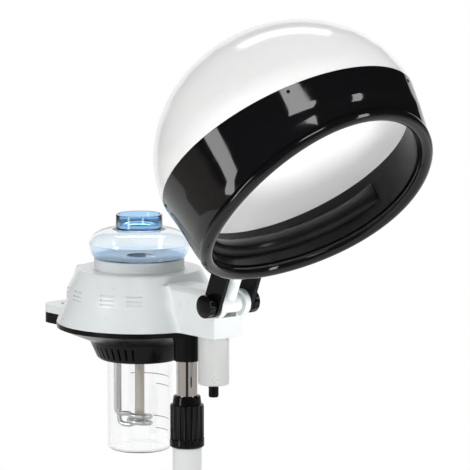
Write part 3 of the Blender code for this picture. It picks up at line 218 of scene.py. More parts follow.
HEAD = Matrix.Translation((-HEAD_OFFSET * MM, 0, COLLAR_TOP * MM))
MAST = Matrix.Translation((0, 0, COLLAR_TOP * MM))
CUP = Matrix.Translation((CUP_X * MM, 0, COLLAR_TOP * MM))
HINGE = Matrix.Translation((HINGE_X * MM, 0, (COLLAR_TOP + HINGE_Z) * MM))
HOOD_TURN = Matrix.Rotation(-math.radians(HOOD_TILT_DEG), 4, "Y")
HOOD = Matrix.Translation((HOOD_X * MM, 0, (COLLAR_TOP + HOOD_Z) * MM)) @ HOOD_TURN
print("sizes ready")

# %% [markdown]
# ## Finishes
# A moulded surface is never one flat value. Each finish mixes two close colours over a slow noise, lets the
# roughness wander, and adds a grain through a bump that is a small part of a millimetre deep. All of them
# read the object's own coordinates, so the grain keeps one real size on every piece.


# %% Finishes
def add_noise(tree, place, scale, detail):
    noise = tree.nodes.new("ShaderNodeTexNoise")
    noise.inputs["Scale"].default_value = scale
    noise.inputs["Detail"].default_value = detail
    tree.links.new(place, noise.inputs["Vector"])
    return noise.outputs["Fac"]


def add_ramp(tree, amount, low, high):
    """A number that wanders between two values with a noise."""
    ramp = tree.nodes.new("ShaderNodeMapRange")
    ramp.inputs["From Min"].default_value = 0.3
    ramp.inputs["From Max"].default_value = 0.7
    ramp.inputs["To Min"].default_value = low
    ramp.inputs["To Max"].default_value = high
    tree.links.new(amount, ramp.inputs["Value"])
    return ramp.outputs["Result"]


def make_finish(name, colour, roughness, wander=0.03, shade=0.94, grain=900.0, bump=0.05, stretch=(1, 1, 1),
                **sockets):
    """One finish; further sockets are given by name, with underscores for the spaces."""
    material = bpy.data.materials.new(name)
    material.use_nodes = True
    tree = material.node_tree
    shader = tree.nodes["Principled BSDF"]
    for socket, value in sockets.items():
        shader.inputs[socket.replace("_", " ")].default_value = value
    coordinates = tree.nodes.new("ShaderNodeTexCoord")
    mapping = tree.nodes.new("ShaderNodeMapping")
    mapping.inputs["Scale"].default_value = stretch
    tree.links.new(coordinates.outputs["Object"], mapping.inputs["Vector"])
    place = mapping.outputs["Vector"]
    slow = add_noise(tree, place, 14.0, 3.0)
    mix = tree.nodes.new("ShaderNodeValToRGB")
    mix.color_ramp.elements[0].position = 0.3
    mix.color_ramp.elements[0].color = (*(part * shade for part in colour), 1.0)
    mix.color_ramp.elements[1].position = 0.7
    mix.color_ramp.elements[1].color = (*colour, 1.0)
    tree.links.new(slow, mix.inputs["Fac"])
    tree.links.new(mix.outputs["Color"], shader.inputs["Base Color"])
    patches = add_noise(tree, place, 60.0, 4.0)
    gloss = add_ramp(tree, patches, roughness - wander, roughness + wander)
    tree.links.new(gloss, shader.inputs["Roughness"])
    fine = add_noise(tree, place, grain, 2.0)
    relief = tree.nodes.new("ShaderNodeBump")
    relief.inputs["Strength"].default_value = bump
    relief.inputs["Distance"].default_value = 0.0003
    tree.links.new(fine, relief.inputs["Height"])
    tree.links.new(relief.outputs["Normal"], shader.inputs["Normal"])
    return material


finishes = {
    "white_plastic": make_finish("white_plastic", (0.83, 0.87, 0.87), 0.30, shade=0.97, Coat_Weight=0.25),
    "milk_dome": make_finish("milk_dome", (0.90, 0.90, 0.895), 0.16, shade=0.98, grain=300.0, bump=0.01,
                             Subsurface_Weight=0.3, Subsurface_Scale=0.005,
                             Subsurface_Radius=(1.0, 1.0, 1.0)),
    "black_gloss": make_finish("black_gloss", (0.004, 0.004, 0.0045), 0.06, wander=0.02, grain=350.0,
                               bump=0.012, Specular_IOR_Level=0.35),
    "black_satin": make_finish("black_satin", (0.005, 0.005, 0.0055), 0.18, wander=0.05, bump=0.06,
                               Specular_IOR_Level=0.18),
    "white_paint": make_finish("white_paint", (0.84, 0.86, 0.86), 0.34, shade=0.97, grain=500.0, bump=0.10),
    "chrome": make_finish("chrome", (0.80, 0.80, 0.81), 0.09, wander=0.03, grain=1500.0, bump=0.02,
                          stretch=(1, 1, 0.02), Metallic=1.0),
    "steel": make_finish("steel", (0.56, 0.56, 0.57), 0.30, wander=0.08, bump=0.10, stretch=(1, 1, 0.03),
                         Metallic=1.0),
    "blue_clear": make_finish("blue_clear", (0.74, 0.88, 0.985), 0.04, wander=0.01, shade=0.97, grain=200.0,
                              bump=0.01, IOR=1.45, Transmission_Weight=1.0),
    "clear_glass": make_finish("clear_glass", (0.985, 0.99, 0.99), 0.02, wander=0.01, shade=0.995,
                               grain=120.0, bump=0.008, IOR=1.45, Transmission_Weight=1.0),
    "cloudy_plastic": make_finish("cloudy_plastic", (0.86, 0.87, 0.86), 0.30, shade=0.97, IOR=1.45,
                                  Transmission_Weight=0.35),
    "ivory_plastic": make_finish("ivory_plastic", (0.62, 0.58, 0.50), 0.42, wander=0.05, bump=0.08),
    "rubber": make_finish("rubber", (0.022, 0.022, 0.023), 0.72, wander=0.08, grain=1200.0, bump=0.25),
    "board": make_finish("board", (0.05, 0.24, 0.10), 0.45, shade=0.75, bump=0.15),
    "amber_lens": make_finish("amber_lens", (0.85, 0.28, 0.04), 0.14, Transmission_Weight=0.5),
}
shell_black = make_finish("shell_black", (0.006, 0.006, 0.0065), 0.22, Specular_IOR_Level=0.15)
red_print = make_finish("red_print", (0.62, 0.03, 0.03), 0.45, bump=0.04)


def tint_by_height(material, stops):
    """Colours a finish by height, through (height, colour) stops from the lowest up."""
    low = stops[0][0]
    high = stops[-1][0]
    tree = material.node_tree
    place = tree.nodes.new("ShaderNodeTexCoord")
    parts = tree.nodes.new("ShaderNodeSeparateXYZ")
    tree.links.new(place.outputs["Object"], parts.inputs["Vector"])
    level = tree.nodes.new("ShaderNodeMapRange")
    level.inputs["From Min"].default_value = low * MM
    level.inputs["From Max"].default_value = high * MM
    tree.links.new(parts.outputs["Z"], level.inputs["Value"])
    ramp = tree.nodes.new("ShaderNodeValToRGB")
    ramp.color_ramp.elements[0].color = (*stops[0][1], 1.0)
    ramp.color_ramp.elements[1].color = (*stops[-1][1], 1.0)
    for height, colour in stops[1:-1]:
        ramp.color_ramp.elements.new((height - low) / (high - low)).color = (*colour, 1.0)
    tree.links.new(level.outputs["Result"], ramp.inputs["Fac"])
    tree.links.new(ramp.outputs["Color"], tree.nodes["Principled BSDF"].inputs["Base Color"])


# Clear plastic looks deeper where its wall is seen edge on, at the bottle's foot and in its grip, so the
# colour
# # is painted a deeper blue there by height, as painted shade.
PAINTED_SHADE_BLUE = (0.46, 0.70, 0.94)
PALE_BLUE = (0.92, 0.965, 0.995)
foot = COLLAR_TOP + BOTTLE_COLLAR_TOP
crown = COLLAR_TOP + BOTTLE_SHOULDER
# The deeper blue stops at the foot and the grip are painted shade, not a dye in the plastic.
tint_by_height(finishes["blue_clear"], [(foot, PAINTED_SHADE_BLUE), (foot + 15, PALE_BLUE), (crown, PALE_BLUE),
                                        (crown + 3, PAINTED_SHADE_BLUE), (COLLAR_TOP + GRIP_TOP, PAINTED_SHADE_BLUE)])
print(f"{len(finishes)} finishes, a shell black and one print colour")

# %% [markdown]
# ## Ways to make a piece
# A turned piece is an outline spun round an axis. A dressed piece is a merged copy of its solid, whose flat
# triangles are joined back into whole faces before a narrow bevel rounds the edges. Both are left with their
# place in the mesh.


# %% Tools
def arc(centre, radius, start_deg, end_deg, count):
    angles = [math.radians(start_deg + (end_deg - start_deg) * i / count) for i in range(count + 1)]
    return [(centre[0] + radius * math.cos(a), centre[1] + radius * math.sin(a)) for a in angles]


def turned(profile, steps=SMOOTH):
    """A (radius, height) outline turned round Z into a closed solid."""
    bm = bmesh.new()
    corners = [bm.verts.new((radius, 0.0, height)) for radius, height in profile]
    on_axis = profile[0][0] == 0.0 and profile[-1][0] == 0.0
    count = len(corners) - 1 if on_axis else len(corners)
    edges = [bm.edges.new((corners[i], corners[(i + 1) % len(corners)])) for i in range(count)]
    bmesh.ops.spin(bm, geom=corners + edges, cent=(0, 0, 0), axis=(0, 0, 1), angle=2 * math.pi, steps=steps,
                   use_merge=True)
    bmesh.ops.remove_doubles(bm, verts=bm.verts, dist=1e-4)
    return bm


def flute(bm, radius, count, depth):
    """Draws waves round the part of a turned piece that has one radius."""
    for corner in bm.verts:
        flat = Vector((corner.co.x, corner.co.y, 0))
        if abs(flat.length - radius) < 0.01:
            wave = 0.5 - 0.5 * math.cos(math.atan2(flat.y, flat.x) * count)
            corner.co -= flat.normalized() * depth * wave


def make_object(name, bm, place, material, body, crease_deg=35):
    bmesh.ops.scale(bm, vec=(MM, MM, MM), verts=bm.verts)
    bmesh.ops.transform(bm, matrix=place, verts=bm.verts)
    bmesh.ops.recalc_face_normals(bm, faces=bm.faces)
    mesh = bpy.data.meshes.new(name)
    bm.to_mesh(mesh)
    bm.free()
    mesh.shade_smooth()
    mesh.set_sharp_from_angle(angle=math.radians(crease_deg))
    mesh.materials.append(material)
    thing = bpy.data.objects.new(name, mesh)
    bpy.context.scene.collection.objects.link(thing)
    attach(thing, body)
    return thing


def rebuild(node, bm, place, crease_deg=35):
    """Shows a finer piece in place of a CAD node, with that node's body and finish."""
    slot = slot_of[node]
    thing = make_object(node + "_fine", bm, place, finishes[slot], body_of[node], crease_deg)
    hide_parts(node)
    return thing


def cut_away(bm, cutters):
    """Cuts one mesh out of another, both in metres, and gives back the result."""
    results = []
    for name, source in (("blank", bm), ("cutters", cutters)):
        mesh = bpy.data.meshes.new(name)
        bmesh.ops.recalc_face_normals(source, faces=source.faces)
        source.to_mesh(mesh)
        source.free()
        thing = bpy.data.objects.new(name, mesh)
        bpy.context.scene.collection.objects.link(thing)
        results.append(thing)
    blank, tool = results
    change = blank.modifiers.new("Cut", "BOOLEAN")
    change.object = tool
    change.operation = "DIFFERENCE"
    change.solver = "EXACT"
    shape = bmesh.new()
    shape.from_object(blank, bpy.context.evaluated_depsgraph_get())
    for thing in results:
        bpy.data.meshes.remove(thing.data)
    return shape


def dress(node, edge=EDGE_ROUND, cutters=None):
    """Shows a merged copy of a CAD node with its edges eased, after any further cuts."""
    bm = bmesh.new()
    bm.from_mesh(frame["nodes"][node].data)
    bmesh.ops.remove_doubles(bm, verts=bm.verts, dist=1e-5)
    if cutters is not None:
        bm = cut_away(bm, cutters)
    bmesh.ops.dissolve_limit(bm, angle_limit=math.radians(0.5), verts=bm.verts, edges=bm.edges)
    bmesh.ops.scale(bm, vec=(1 / MM, 1 / MM, 1 / MM), verts=bm.verts)
    thing = rebuild(node, bm, Matrix.Identity(4))
    easing = thing.modifiers.new("Eased edges", "BEVEL")
    easing.width = edge * MM
    easing.segments = 2
    easing.limit_method = "ANGLE"
    easing.angle_limit = math.radians(35)
    easing.use_clamp_overlap = True
    even = thing.modifiers.new("Even normals", "WEIGHTED_NORMAL")
    even.keep_sharp = True
    return thing


def smooth_path(corners, radius, steps):
    """Straight runs through the corners with a round bend at each inner one."""
    points = [Vector(corners[0])]
    for before, corner, after in zip(corners, corners[1:], corners[2:]):
        corner = Vector(corner)
        start = corner + (Vector(before) - corner).normalized() * radius
        end = corner + (Vector(after) - corner).normalized() * radius
        for i in range(steps + 1):
            t = i / steps
            points.append(start * (1 - t) ** 2 + corner * 2 * t * (1 - t) + end * t ** 2)
    points.append(Vector(corners[-1]))
    return points


def tube_along(points, radius, sides):
    """A round tube through points, carried along them without twisting."""
    bm = bmesh.new()
    rings = []
    side = Vector((1, 0, 0))
    for i, point in enumerate(points):
        ahead = (points[min(i + 1, len(points) - 1)] - points[max(i - 1, 0)]).normalized()
        side = (side - ahead * side.dot(ahead)).normalized()
        up = ahead.cross(side)
        turns = [2 * math.pi * k / sides for k in range(sides)]
        rings.append([bm.verts.new(point + (side * math.cos(a) + up * math.sin(a)) * radius) for a in turns])
    for before, after in zip(rings, rings[1:]):
        for k in range(sides):
            bm.faces.new((before[k], before[(k + 1) % sides], after[(k + 1) % sides], after[k]))
    bm.faces.new(rings[0])
    bm.faces.new(rings[-1][::-1])
    return bm


def wall_strip(start_deg, end_deg, inner, outer, low, high):
    """A thin strip bent round Z, for a printed line or a plate behind a wall."""
    bm = bmesh.new()
    steps = 24
    rows = []
    for i in range(steps + 1):
        angle = math.radians(start_deg + (end_deg - start_deg) * i / steps)
        corners = [(inner, low), (outer, low), (outer, high), (inner, high)]
        rows.append([bm.verts.new((r * math.cos(angle), r * math.sin(angle), z)) for r, z in corners])
    for before, after in zip(rows, rows[1:]):
        for k in range(4):
            bm.faces.new((before[k], before[(k + 1) % 4], after[(k + 1) % 4], after[k]))
    bm.faces.new(rows[0])
    bm.faces.new(rows[-1][::-1])
    return bm


def screw_head():
    """A low round head with a socket, standing on Z = 0."""
    r = SCREW_RADIUS
    socket = [(0, 0.4), (0.40 * r, 0.4), (0.45 * r, 1.0)]
    rim = [(0.80 * r, 0.85), (r, 0.3), (r, -0.4), (0, -0.4)]
    return turned(socket + rim, 24)


print("tools ready")

# %% [markdown]
# ## Hood
# The dome is blown from milk-white sheet, and its edge drops inside the black ring as a skirt. The ring is
# the hardest form here: its rolled lip isn't level, but climbs at the front so that a face stays clear, and
# drops at the sides and back. The outline is turned first, and its lower part is then moved along the axis
# to follow that curve.


# %% Hood
def lip_depth(angle):
    return LIP_DEPTH - LIP_REAR_DROP * math.cos(angle) - LIP_SIDE_DROP * math.cos(2 * angle)


def ring_outer(depth):
    return RING_TOP_RADIUS - RING_TAPER * depth / LIP_DEPTH


def liner_radius(depth):
    bottom = LIP_CENTRE_RADIUS - LIP_RADIUS - LINER_WALL + 1.0
    share = (depth - SKIRT_DEPTH) / (LIP_DEPTH - SKIRT_DEPTH)
    return LINER_TOP_RADIUS + share * (bottom - LINER_TOP_RADIUS)


def follow_lip(bm):
    fixed = SKIRT_DEPTH + LINER_FLANGE + 2
    for corner in bm.verts:
        depth = -corner.co.z
        if depth > fixed:
            angle = math.atan2(corner.co.y, corner.co.x)
            share = min(1.0, (depth - fixed) / (LIP_DEPTH - LIP_RADIUS - 8.0 - fixed))
            corner.co.z -= share * (lip_depth(angle) - LIP_DEPTH)


def between(start, end, count):
    """Evenly spaced points along a straight stretch, without the last one."""
    return [(start[0] + (end[0] - start[0]) * i / count, start[1] + (end[1] - start[1]) * i / count)
            for i in range(count)]


def dome_outline():
    angles = [math.radians(90 * i / 36) for i in range(37)]
    inset = RING_WALL + RUN
    skirt_top = ring_outer(0) - inset
    skirt_low = ring_outer(SKIRT_DEPTH) - inset
    outer = [(DOME_RADIUS * math.cos(a), GAP + DOME_HEIGHT * math.sin(a)) for a in angles]
    inner = [((skirt_top - DOME_WALL) * math.cos(a), (DOME_HEIGHT - DOME_WALL) * math.sin(a)) for a in angles]
    outer[-1] = (0, DOME_HEIGHT + GAP)
    inner[-1] = (0, DOME_HEIGHT - DOME_WALL)
    skirt = [(skirt_low - DOME_WALL, -SKIRT_DEPTH), (skirt_low, -SKIRT_DEPTH), (skirt_top, GAP)]
    return inner[::-1] + skirt + outer


def ring_outline():
    neck = LIP_DEPTH - LIP_RADIUS - 6.0
    wall = RING_WALL
    lip = (LIP_CENTRE_RADIUS, -LIP_DEPTH)
    outer = between((ring_outer(0), 0), (ring_outer(neck), -neck), 12) + [(ring_outer(neck), -neck)]
    bead = arc(lip, LIP_RADIUS, 30, -180, 28)
    inside = [(LIP_CENTRE_RADIUS - LIP_RADIUS + 1, 4 - LIP_DEPTH),
              (LIP_CENTRE_RADIUS, LIP_RADIUS - LIP_DEPTH)]
    back_top = (ring_outer(0) - wall, 0)
    back = between((ring_outer(neck) - wall, -neck), back_top, 12) + [back_top]
    return outer + bead + inside + back


def liner_outline():
    top = SKIRT_DEPTH + GAP
    flange_low = top + LINER_FLANGE
    low = LIP_DEPTH - LIP_RADIUS + 4.0
    reach = ring_outer(flange_low) - RING_WALL - 2 * RUN
    edge = liner_radius(low) - 1.0
    face_top = (liner_radius(top), -top)
    back_top = (liner_radius(flange_low) + LINER_WALL, -flange_low)
    back_low = (edge + LINER_WALL, -low)
    face = between((edge, -low), face_top, 10) + [face_top]
    back = between(back_top, back_low, 10) + [back_low]
    return face + [(reach, -top), (reach, -flange_low)] + back


def steam_channel():
    """A rounded duct swept along the rear of the liner, a little above the lip."""
    steps = 96
    across = 14
    half = math.radians(CHANNEL_HALF_ANGLE_DEG)
    bm = bmesh.new()
    rows = []
    for i in range(steps + 1):
        angle = math.pi - half + 2 * half * i / steps
        low = lip_depth(angle) - LIP_RADIUS - CHANNEL_ABOVE_LIP
        span = lip_depth(angle) - SKIRT_DEPTH
        ends = max(0.02, 1.0 - abs(2 * i / steps - 1) ** 8) ** 0.5
        row = []
        for k in range(across + 1):
            share = k / across
            inward = CHANNEL_DEPTH * ends * math.sin(math.pi * share ** 0.8) ** 0.7 if 0 < k < across else 0.0
            depth = low - CHANNEL_HEIGHT * share
            level = SKIRT_DEPTH + (depth - SKIRT_DEPTH) * (LIP_DEPTH - SKIRT_DEPTH) / span
            radius = liner_radius(level) - 1.0 - GAP - inward
            row.append(bm.verts.new((radius * math.cos(angle), radius * math.sin(angle), -depth)))
        rows.append(row)
    for before, after in zip(rows, rows[1:]):
        for k in range(across + 1):
            following = (k + 1) % (across + 1)
            bm.faces.new((before[k], before[following], after[following], after[k]))
    bm.faces.new(rows[0])
    bm.faces.new(rows[-1][::-1])
    return bm


rebuild("hood_dome", turned(dome_outline()), HOOD)
ring = turned(ring_outline(), 180)
follow_lip(ring)
rebuild("hood_ring", ring, HOOD)
liner = turned(liner_outline(), 180)
follow_lip(liner)
for piece in (rebuild("hood_liner", liner, HOOD), rebuild("steam_channel", steam_channel(), HOOD)):
    piece.data.materials[0] = shell_black
for number, (degrees, depth) in enumerate(RING_SCREWS):
    angle = math.radians(degrees)
    radius = ring_outer(depth) * MM
    spot = Matrix.Translation((radius * math.cos(angle), radius * math.sin(angle), -depth * MM))
    outward = Matrix.Rotation(angle, 4, "Z") @ Matrix.Rotation(math.radians(90), 4, "Y")
    make_object(f"ring_screw_{number + 1}", screw_head(), HOOD @ spot @ outward, finishes["black_satin"],
                "hood")
print("hood: dome, ring, liner, steam channel and its screws")

# %% [markdown]
# ## Water bottle and collar
# The bottle is blown in clear blue plastic with a hollow grip on top, and it stands upside down in a white
# collar. Its wall is a real one, with an inside and an outside, because clear plastic shows both in its
# edges.


# %% Bottle and collar
def bottle_outline():
    seat = BOTTLE_COLLAR_TOP + GAP
    wall = BOTTLE_WALL
    neck_low = seat - BOTTLE_NECK_LENGTH
    rise = BOTTLE_BELLY - seat
    reach = BOTTLE_RADIUS - BOTTLE_SEAT_RADIUS
    fall = BOTTLE_SHOULDER - BOTTLE_BELLY
    crown = BOTTLE_RADIUS - GRIP_RADIUS - 6.0
    quarter = [math.radians(90 * i / 16) for i in range(17)]
    lower = [(BOTTLE_SEAT_RADIUS + reach * math.sin(a), BOTTLE_BELLY - rise * math.cos(a)) for a in quarter]
    upper = [(BOTTLE_RADIUS - crown * (1 - math.cos(a)), BOTTLE_BELLY + fall * math.sin(a))
             for a in quarter[1:]]
    grip_inner = GRIP_RADIUS - 3.5
    grip = [(GRIP_RADIUS + 3, BOTTLE_SHOULDER + 0.2), (GRIP_RADIUS, BOTTLE_SHOULDER + 2.5)]
    grip += arc((GRIP_RADIUS - 1.75, GRIP_TOP - 1.75), 1.75, 0, 180, 8)
    grip += arc((grip_inner - 2, BOTTLE_SHOULDER + 4), 2.0, 0, -90, 4)
    grip += [(0, BOTTLE_SHOULDER + 1)]
    outer = [(BOTTLE_NECK_RADIUS, neck_low), (BOTTLE_NECK_RADIUS, seat + 0.5)] + lower + upper + grip
    hollow_lower = [(radius - wall, max(height, seat + wall + 0.5)) for radius, height in lower[4:]]
    hollow_upper = [(radius - wall, height - wall) for radius, height in upper]
    inner = [(0, BOTTLE_SHOULDER - wall)] + hollow_upper[::-1] + hollow_lower[::-1]
    inner += [(BOTTLE_NECK_RADIUS - wall, seat + wall + 0.5), (BOTTLE_NECK_RADIUS - wall, neck_low)]
    return inner + outer


def collar_outline():
    rib = BOTTLE_COLLAR_RADIUS
    floor_top = COLLAR_FLOOR + COLLAR_WALL
    ribs = [(rib - 1.5, BOTTLE_COLLAR_TOP), (rib, BOTTLE_COLLAR_TOP - 1.5), (rib, BOTTLE_COLLAR_LOW + 3)]
    band = [(rib + 1, BOTTLE_COLLAR_LOW + 2), (rib + 1, BOTTLE_COLLAR_LOW)]
    spigot = [(COLLAR_SPIGOT, BOTTLE_COLLAR_LOW), (COLLAR_SPIGOT, COLLAR_FLOOR)]
    hole = [(COLLAR_HOLE, COLLAR_FLOOR), (COLLAR_HOLE, floor_top)]
    recess = [(COLLAR_RECESS_RADIUS, floor_top), (COLLAR_RECESS_RADIUS, BOTTLE_COLLAR_TOP - 9)]
    return ribs + band + spigot + hole + recess + [(rib - COLLAR_WALL, BOTTLE_COLLAR_TOP)]


rebuild("water_bottle", turned(bottle_outline()), HEAD, 50)
collar = turned(collar_outline(), COLLAR_FINE_RIBS * 4)
flute(collar, BOTTLE_COLLAR_RADIUS, COLLAR_FINE_RIBS, COLLAR_FINE_RIB_DEPTH)
rebuild("bottle_collar", collar, HEAD, 60)
dress("bottle_valve_cap")
dress("valve_pin")
print("bottle, valve and ribbed collar")

# %% [markdown]
# ## Glass jar and heater
# The jar is pressed glass with a rounded foot, and its fill marks are printed as thin red lines on the
# outside. The heater is one bent tube, so it is swept along one path: down a leg, round its loops and up
# again.


# %% Jar and heater
def on_circle(radius, angle, height):
    return Vector((radius * math.cos(angle), radius * math.sin(angle), height))


def heater_path():
    spread = math.radians(HEATER_LEG_SPREAD_DEG) / 2
    start = math.radians(HEATER_LEGS_AT_DEG) + spread
    sweep = 2 * math.pi * HEATER_TURNS - 2 * spread
    count = 48 * HEATER_TURNS
    coil = []
    for i in range(count + 1):
        angle = start + sweep * i / count
        height = HEATER_LOOP_TOP - HEATER_PITCH * HEATER_TURNS * i / count
        coil.append(on_circle(HEATER_LOOP_RADIUS, angle, height))
    first_leg = [on_circle(HEATER_LEG_RADIUS, start, level) for level in (LEDGE, coil[0].z)]
    last_leg = [on_circle(HEATER_LEG_RADIUS, start + sweep, level) for level in (coil[-1].z, LEDGE)]
    down = smooth_path(first_leg + [coil[0]], HEATER_BEND, 12)
    up = smooth_path([coil[-1]] + last_leg, HEATER_BEND, 12)
    return down[:-1] + coil + up[1:]


def jar_outline():
    centre = (JAR_RADIUS - JAR_CORNER, JAR_BOTTOM + JAR_CORNER)
    outer = arc(centre, JAR_CORNER, 270, 360, 12)
    inner = arc(centre, JAR_CORNER - JAR_WALL, 360, 270, 12)
    rim = [(JAR_RADIUS, JAR_RIM), (JAR_RADIUS - JAR_WALL, JAR_RIM)]
    return [(0, JAR_BOTTOM)] + outer + rim + inner + [(0, JAR_BOTTOM + JAR_WALL)]


rebuild("glass_jar", turned(jar_outline()), HEAD, 50)
for number, (height, start, end) in enumerate(JAR_MARKS):
    inner = JAR_RADIUS + 0.05
    line = wall_strip(start, end, inner, inner + PRINT_THICKNESS, height - JAR_MARK_HEIGHT / 2,
                      height + JAR_MARK_HEIGHT / 2)
    make_object(f"fill_mark_{number + 1}", line, HEAD, red_print, "jar")
heater = rebuild("heating_element", tube_along(heater_path(), HEATER_TUBE_RADIUS, 20), HEAD)
heater.data.materials[0] = finishes["steel"]
feed = [(FEED_TUBE_RADIUS, FEED_TUBE_LOW), (FEED_TUBE_RADIUS, FEED_COLLAR_LOW)]
feed += [(FEED_COLLAR_RADIUS, FEED_COLLAR_LOW), (FEED_COLLAR_RADIUS, FEED_TUBE_TOP)]
feed += [(FEED_TUBE_BORE, FEED_TUBE_TOP), (FEED_TUBE_BORE, FEED_TUBE_LOW)]
rebuild("feed_tube", turned(feed, TUBE_STEPS), HEAD)
for node in ("jar_gasket", "heater_plate", "thermostat", "steam_pipe"):
    dress(node, 0.3)
print("jar with fill marks, heater and tubes")

# %% [markdown]
# ## Boiler head
# The white top and the black underside are two deep mouldings that meet at a thin parting line. Both keep
# their CAD form, with its neck and handle, and take eased edges and a fine grain. The photograph shows
# louvres and grooves further towards the front than the solids have them, so the copies are cut there too.
# Thin plates stand behind the solids' own louvres, and a hollow curve joins the neck to the housing.


# %% Boiler head
def blades_round(angles_deg, width, cuts):
    """Blocks set round the head's axis, each cut being (inner radius, bottom, top)."""
    blades = bmesh.new()
    for degrees in angles_deg:
        for inner, bottom, top in cuts:
            made = bmesh.ops.create_cube(blades, size=1.0)["verts"]
            bmesh.ops.scale(blades, vec=(CUTTER_REACH, width, top - bottom), verts=made)
            bmesh.ops.translate(blades, vec=(inner + CUTTER_REACH / 2, 0, (top + bottom) / 2), verts=made)
            turn = Matrix.Rotation(math.radians(degrees), 3, "Z")
            bmesh.ops.rotate(blades, verts=made, cent=(0, 0, 0), matrix=turn)
    bmesh.ops.scale(blades, vec=(MM, MM, MM), verts=blades.verts)
    bmesh.ops.transform(blades, matrix=HEAD, verts=blades.verts)
    return blades


def housing_radius(height):
    """The white moulding's outside: a flared skirt, a nearly upright shoulder and a cone."""
    outline = [(PARTING, RIM_RADIUS), (PARTING + 4, RIM_RADIUS - 1.5), (SHOULDER_BOTTOM, SHOULDER_RADIUS),
               (SHOULDER_TOP, SHOULDER_RADIUS - SHOULDER_LEAN), (TOP_EDGE, TOP_RADIUS)]
    for (low, low_radius), (high, high_radius) in zip(outline, outline[1:]):
        if height <= high:
            break
    return low_radius + (high_radius - low_radius) * (height - low) / (high - low)


def neck_fillet(side):
    """The hollow curve where the neck's side runs into the round housing, as a strip with a closed back."""
    bm = bmesh.new()
    rows = []
    levels = [PARTING + 0.5, PARTING + 4] + [SHOULDER_BOTTOM - 24 + 4 * i for i in range(15)] + [NECK_TOP - 8]
    for height in sorted(levels):
        radius = housing_radius(height)
        middle_y = NECK_HALF_WIDTH + NECK_FILLET
        middle_x = math.sqrt((radius + NECK_FILLET) ** 2 - middle_y ** 2)
        start = math.atan2(-middle_y, -middle_x)
        turns = [start + (-math.pi / 2 - start) * i / 10 for i in range(11)]
        points = [(middle_x + NECK_FILLET * math.cos(a), middle_y + NECK_FILLET * math.sin(a)) for a in turns]
        points.append((math.sqrt(radius ** 2 - NECK_HALF_WIDTH ** 2) - 1, NECK_HALF_WIDTH - 1))
        rows.append([bm.verts.new((x, side * y, height)) for x, y in points])
    for before, after in zip(rows, rows[1:]):
        for k in range(len(before)):
            following = (k + 1) % len(before)
            bm.faces.new((before[k], before[following], after[following], after[k]))
    bm.faces.new(rows[0])
    bm.faces.new(rows[-1][::-1])
    return bm


louvre_cuts = []
for row in (-1, 0, 1):
    middle = LOUVRE_MIDDLE + LOUVRE_PITCH * row
    bottom = middle - LOUVRE_HEIGHT / 2
    top = middle + LOUVRE_HEIGHT / 2
    inner = housing_radius(middle) - LOUVRE_DEPTH
    louvre_cuts.append((inner, bottom, top))
    plate = wall_strip(*LOUVRE_BACK_DEG, inner - LOUVRE_BACK_WALL, inner, bottom - 1, top + 1)
    make_object(f"louvre_back_{row + 2}", plate, HEAD, finishes["white_plastic"], "head")
dress("upper_housing", 0.35, blades_round(FRONT_LOUVRES_DEG, LOUVRE_WIDTH, louvre_cuts))
for name, side in (("left", -1), ("right", 1)):
    make_object(f"neck_fillet_{name}", neck_fillet(side), HEAD, finishes["white_plastic"], "head")
groove_cuts = [(GROOVE_FLOOR, *GROOVE_SPAN)]
shell = dress("lower_shell", 0.6, blades_round(FRONT_GROOVES_DEG, GROOVE_WIDTH, groove_cuts))
shell.data.materials[0] = shell_black
dress("control_panel", 0.6)
for node in ("power_switch", "indicator_lens", "control_board", "power_gland"):
    dress(node, 0.4)
print("boiler head and its rear panel")

# %% [markdown]
# ## Condensate cup
# Steam that cools in the neck runs down into a cloudy cup, which empties through a small capped nipple.

# %% Condensate cup
bore = NIPPLE_RADIUS - NIPPLE_WALL
inside = CUP_RADIUS - CUP_WALL
spigot_bore = CUP_SPIGOT_RADIUS - CUP_WALL
cup = [(CUP_SPIGOT_RADIUS, CUP_SPIGOT_TOP), (CUP_SPIGOT_RADIUS, CUP_TOP)]
cup += arc((CUP_RADIUS - 2, CUP_TOP - 2), 2.0, 90, 0, 5)
cup += arc((CUP_RADIUS - 3, CUP_BOTTOM + 3), 3.0, 0, -90, 6)
cup += [(NIPPLE_RADIUS, CUP_BOTTOM), (NIPPLE_RADIUS, NIPPLE_LOW), (bore, NIPPLE_LOW)]
cup += [(bore, CUP_BOTTOM + CUP_WALL), (inside - 3, CUP_BOTTOM + CUP_WALL), (inside, CUP_BOTTOM + 5)]
cup += [(inside, CUP_TOP - 4), (spigot_bore, CUP_TOP - 3), (spigot_bore, CUP_SPIGOT_TOP)]
rebuild("condensate_cup", turned(cup, TUBE_STEPS), CUP)
dress("drain_cap", 0.4)
print("condensate cup and drain cap")

# %% [markdown]
# ## Tilt hinge
# Two lobed knobs clamp the bracket's arms against the neck. Each knob is turned first, and its rim is then
# drawn in between the lobes so that fingers can grip it.

# %% Tilt hinge
for name, side in (("left", -1), ("right", 1)):
    knob = [(0, KNOB_FLOOR), (KNOB_SOCKET, KNOB_FLOOR), (KNOB_SOCKET, KNOB_INNER)]
    knob += [(KNOB_RADIUS - 5, KNOB_INNER), (KNOB_RADIUS, KNOB_INNER + 3), (KNOB_RADIUS, KNOB_OUTER - 2)]
    knob += [(KNOB_RADIUS - 0.6, KNOB_OUTER - 0.6), (KNOB_RADIUS - 2, KNOB_OUTER), (0, KNOB_OUTER)]
    bm = turned([(radius, side * height) for radius, height in knob], KNOB_LOBES * 10)
    flute(bm, KNOB_RADIUS, KNOB_LOBES, KNOB_LOBE_DEPTH)
    rebuild(f"hinge_knob_{name}", bm, HINGE @ Matrix.Rotation(math.radians(-90), 4, "X"))
    dress(f"hinge_pin_{name}", 0.4)
dress("hinge_bracket", 0.8)
dress("steam_elbow", 0.5)
print("bracket, knobs, pins and elbow")

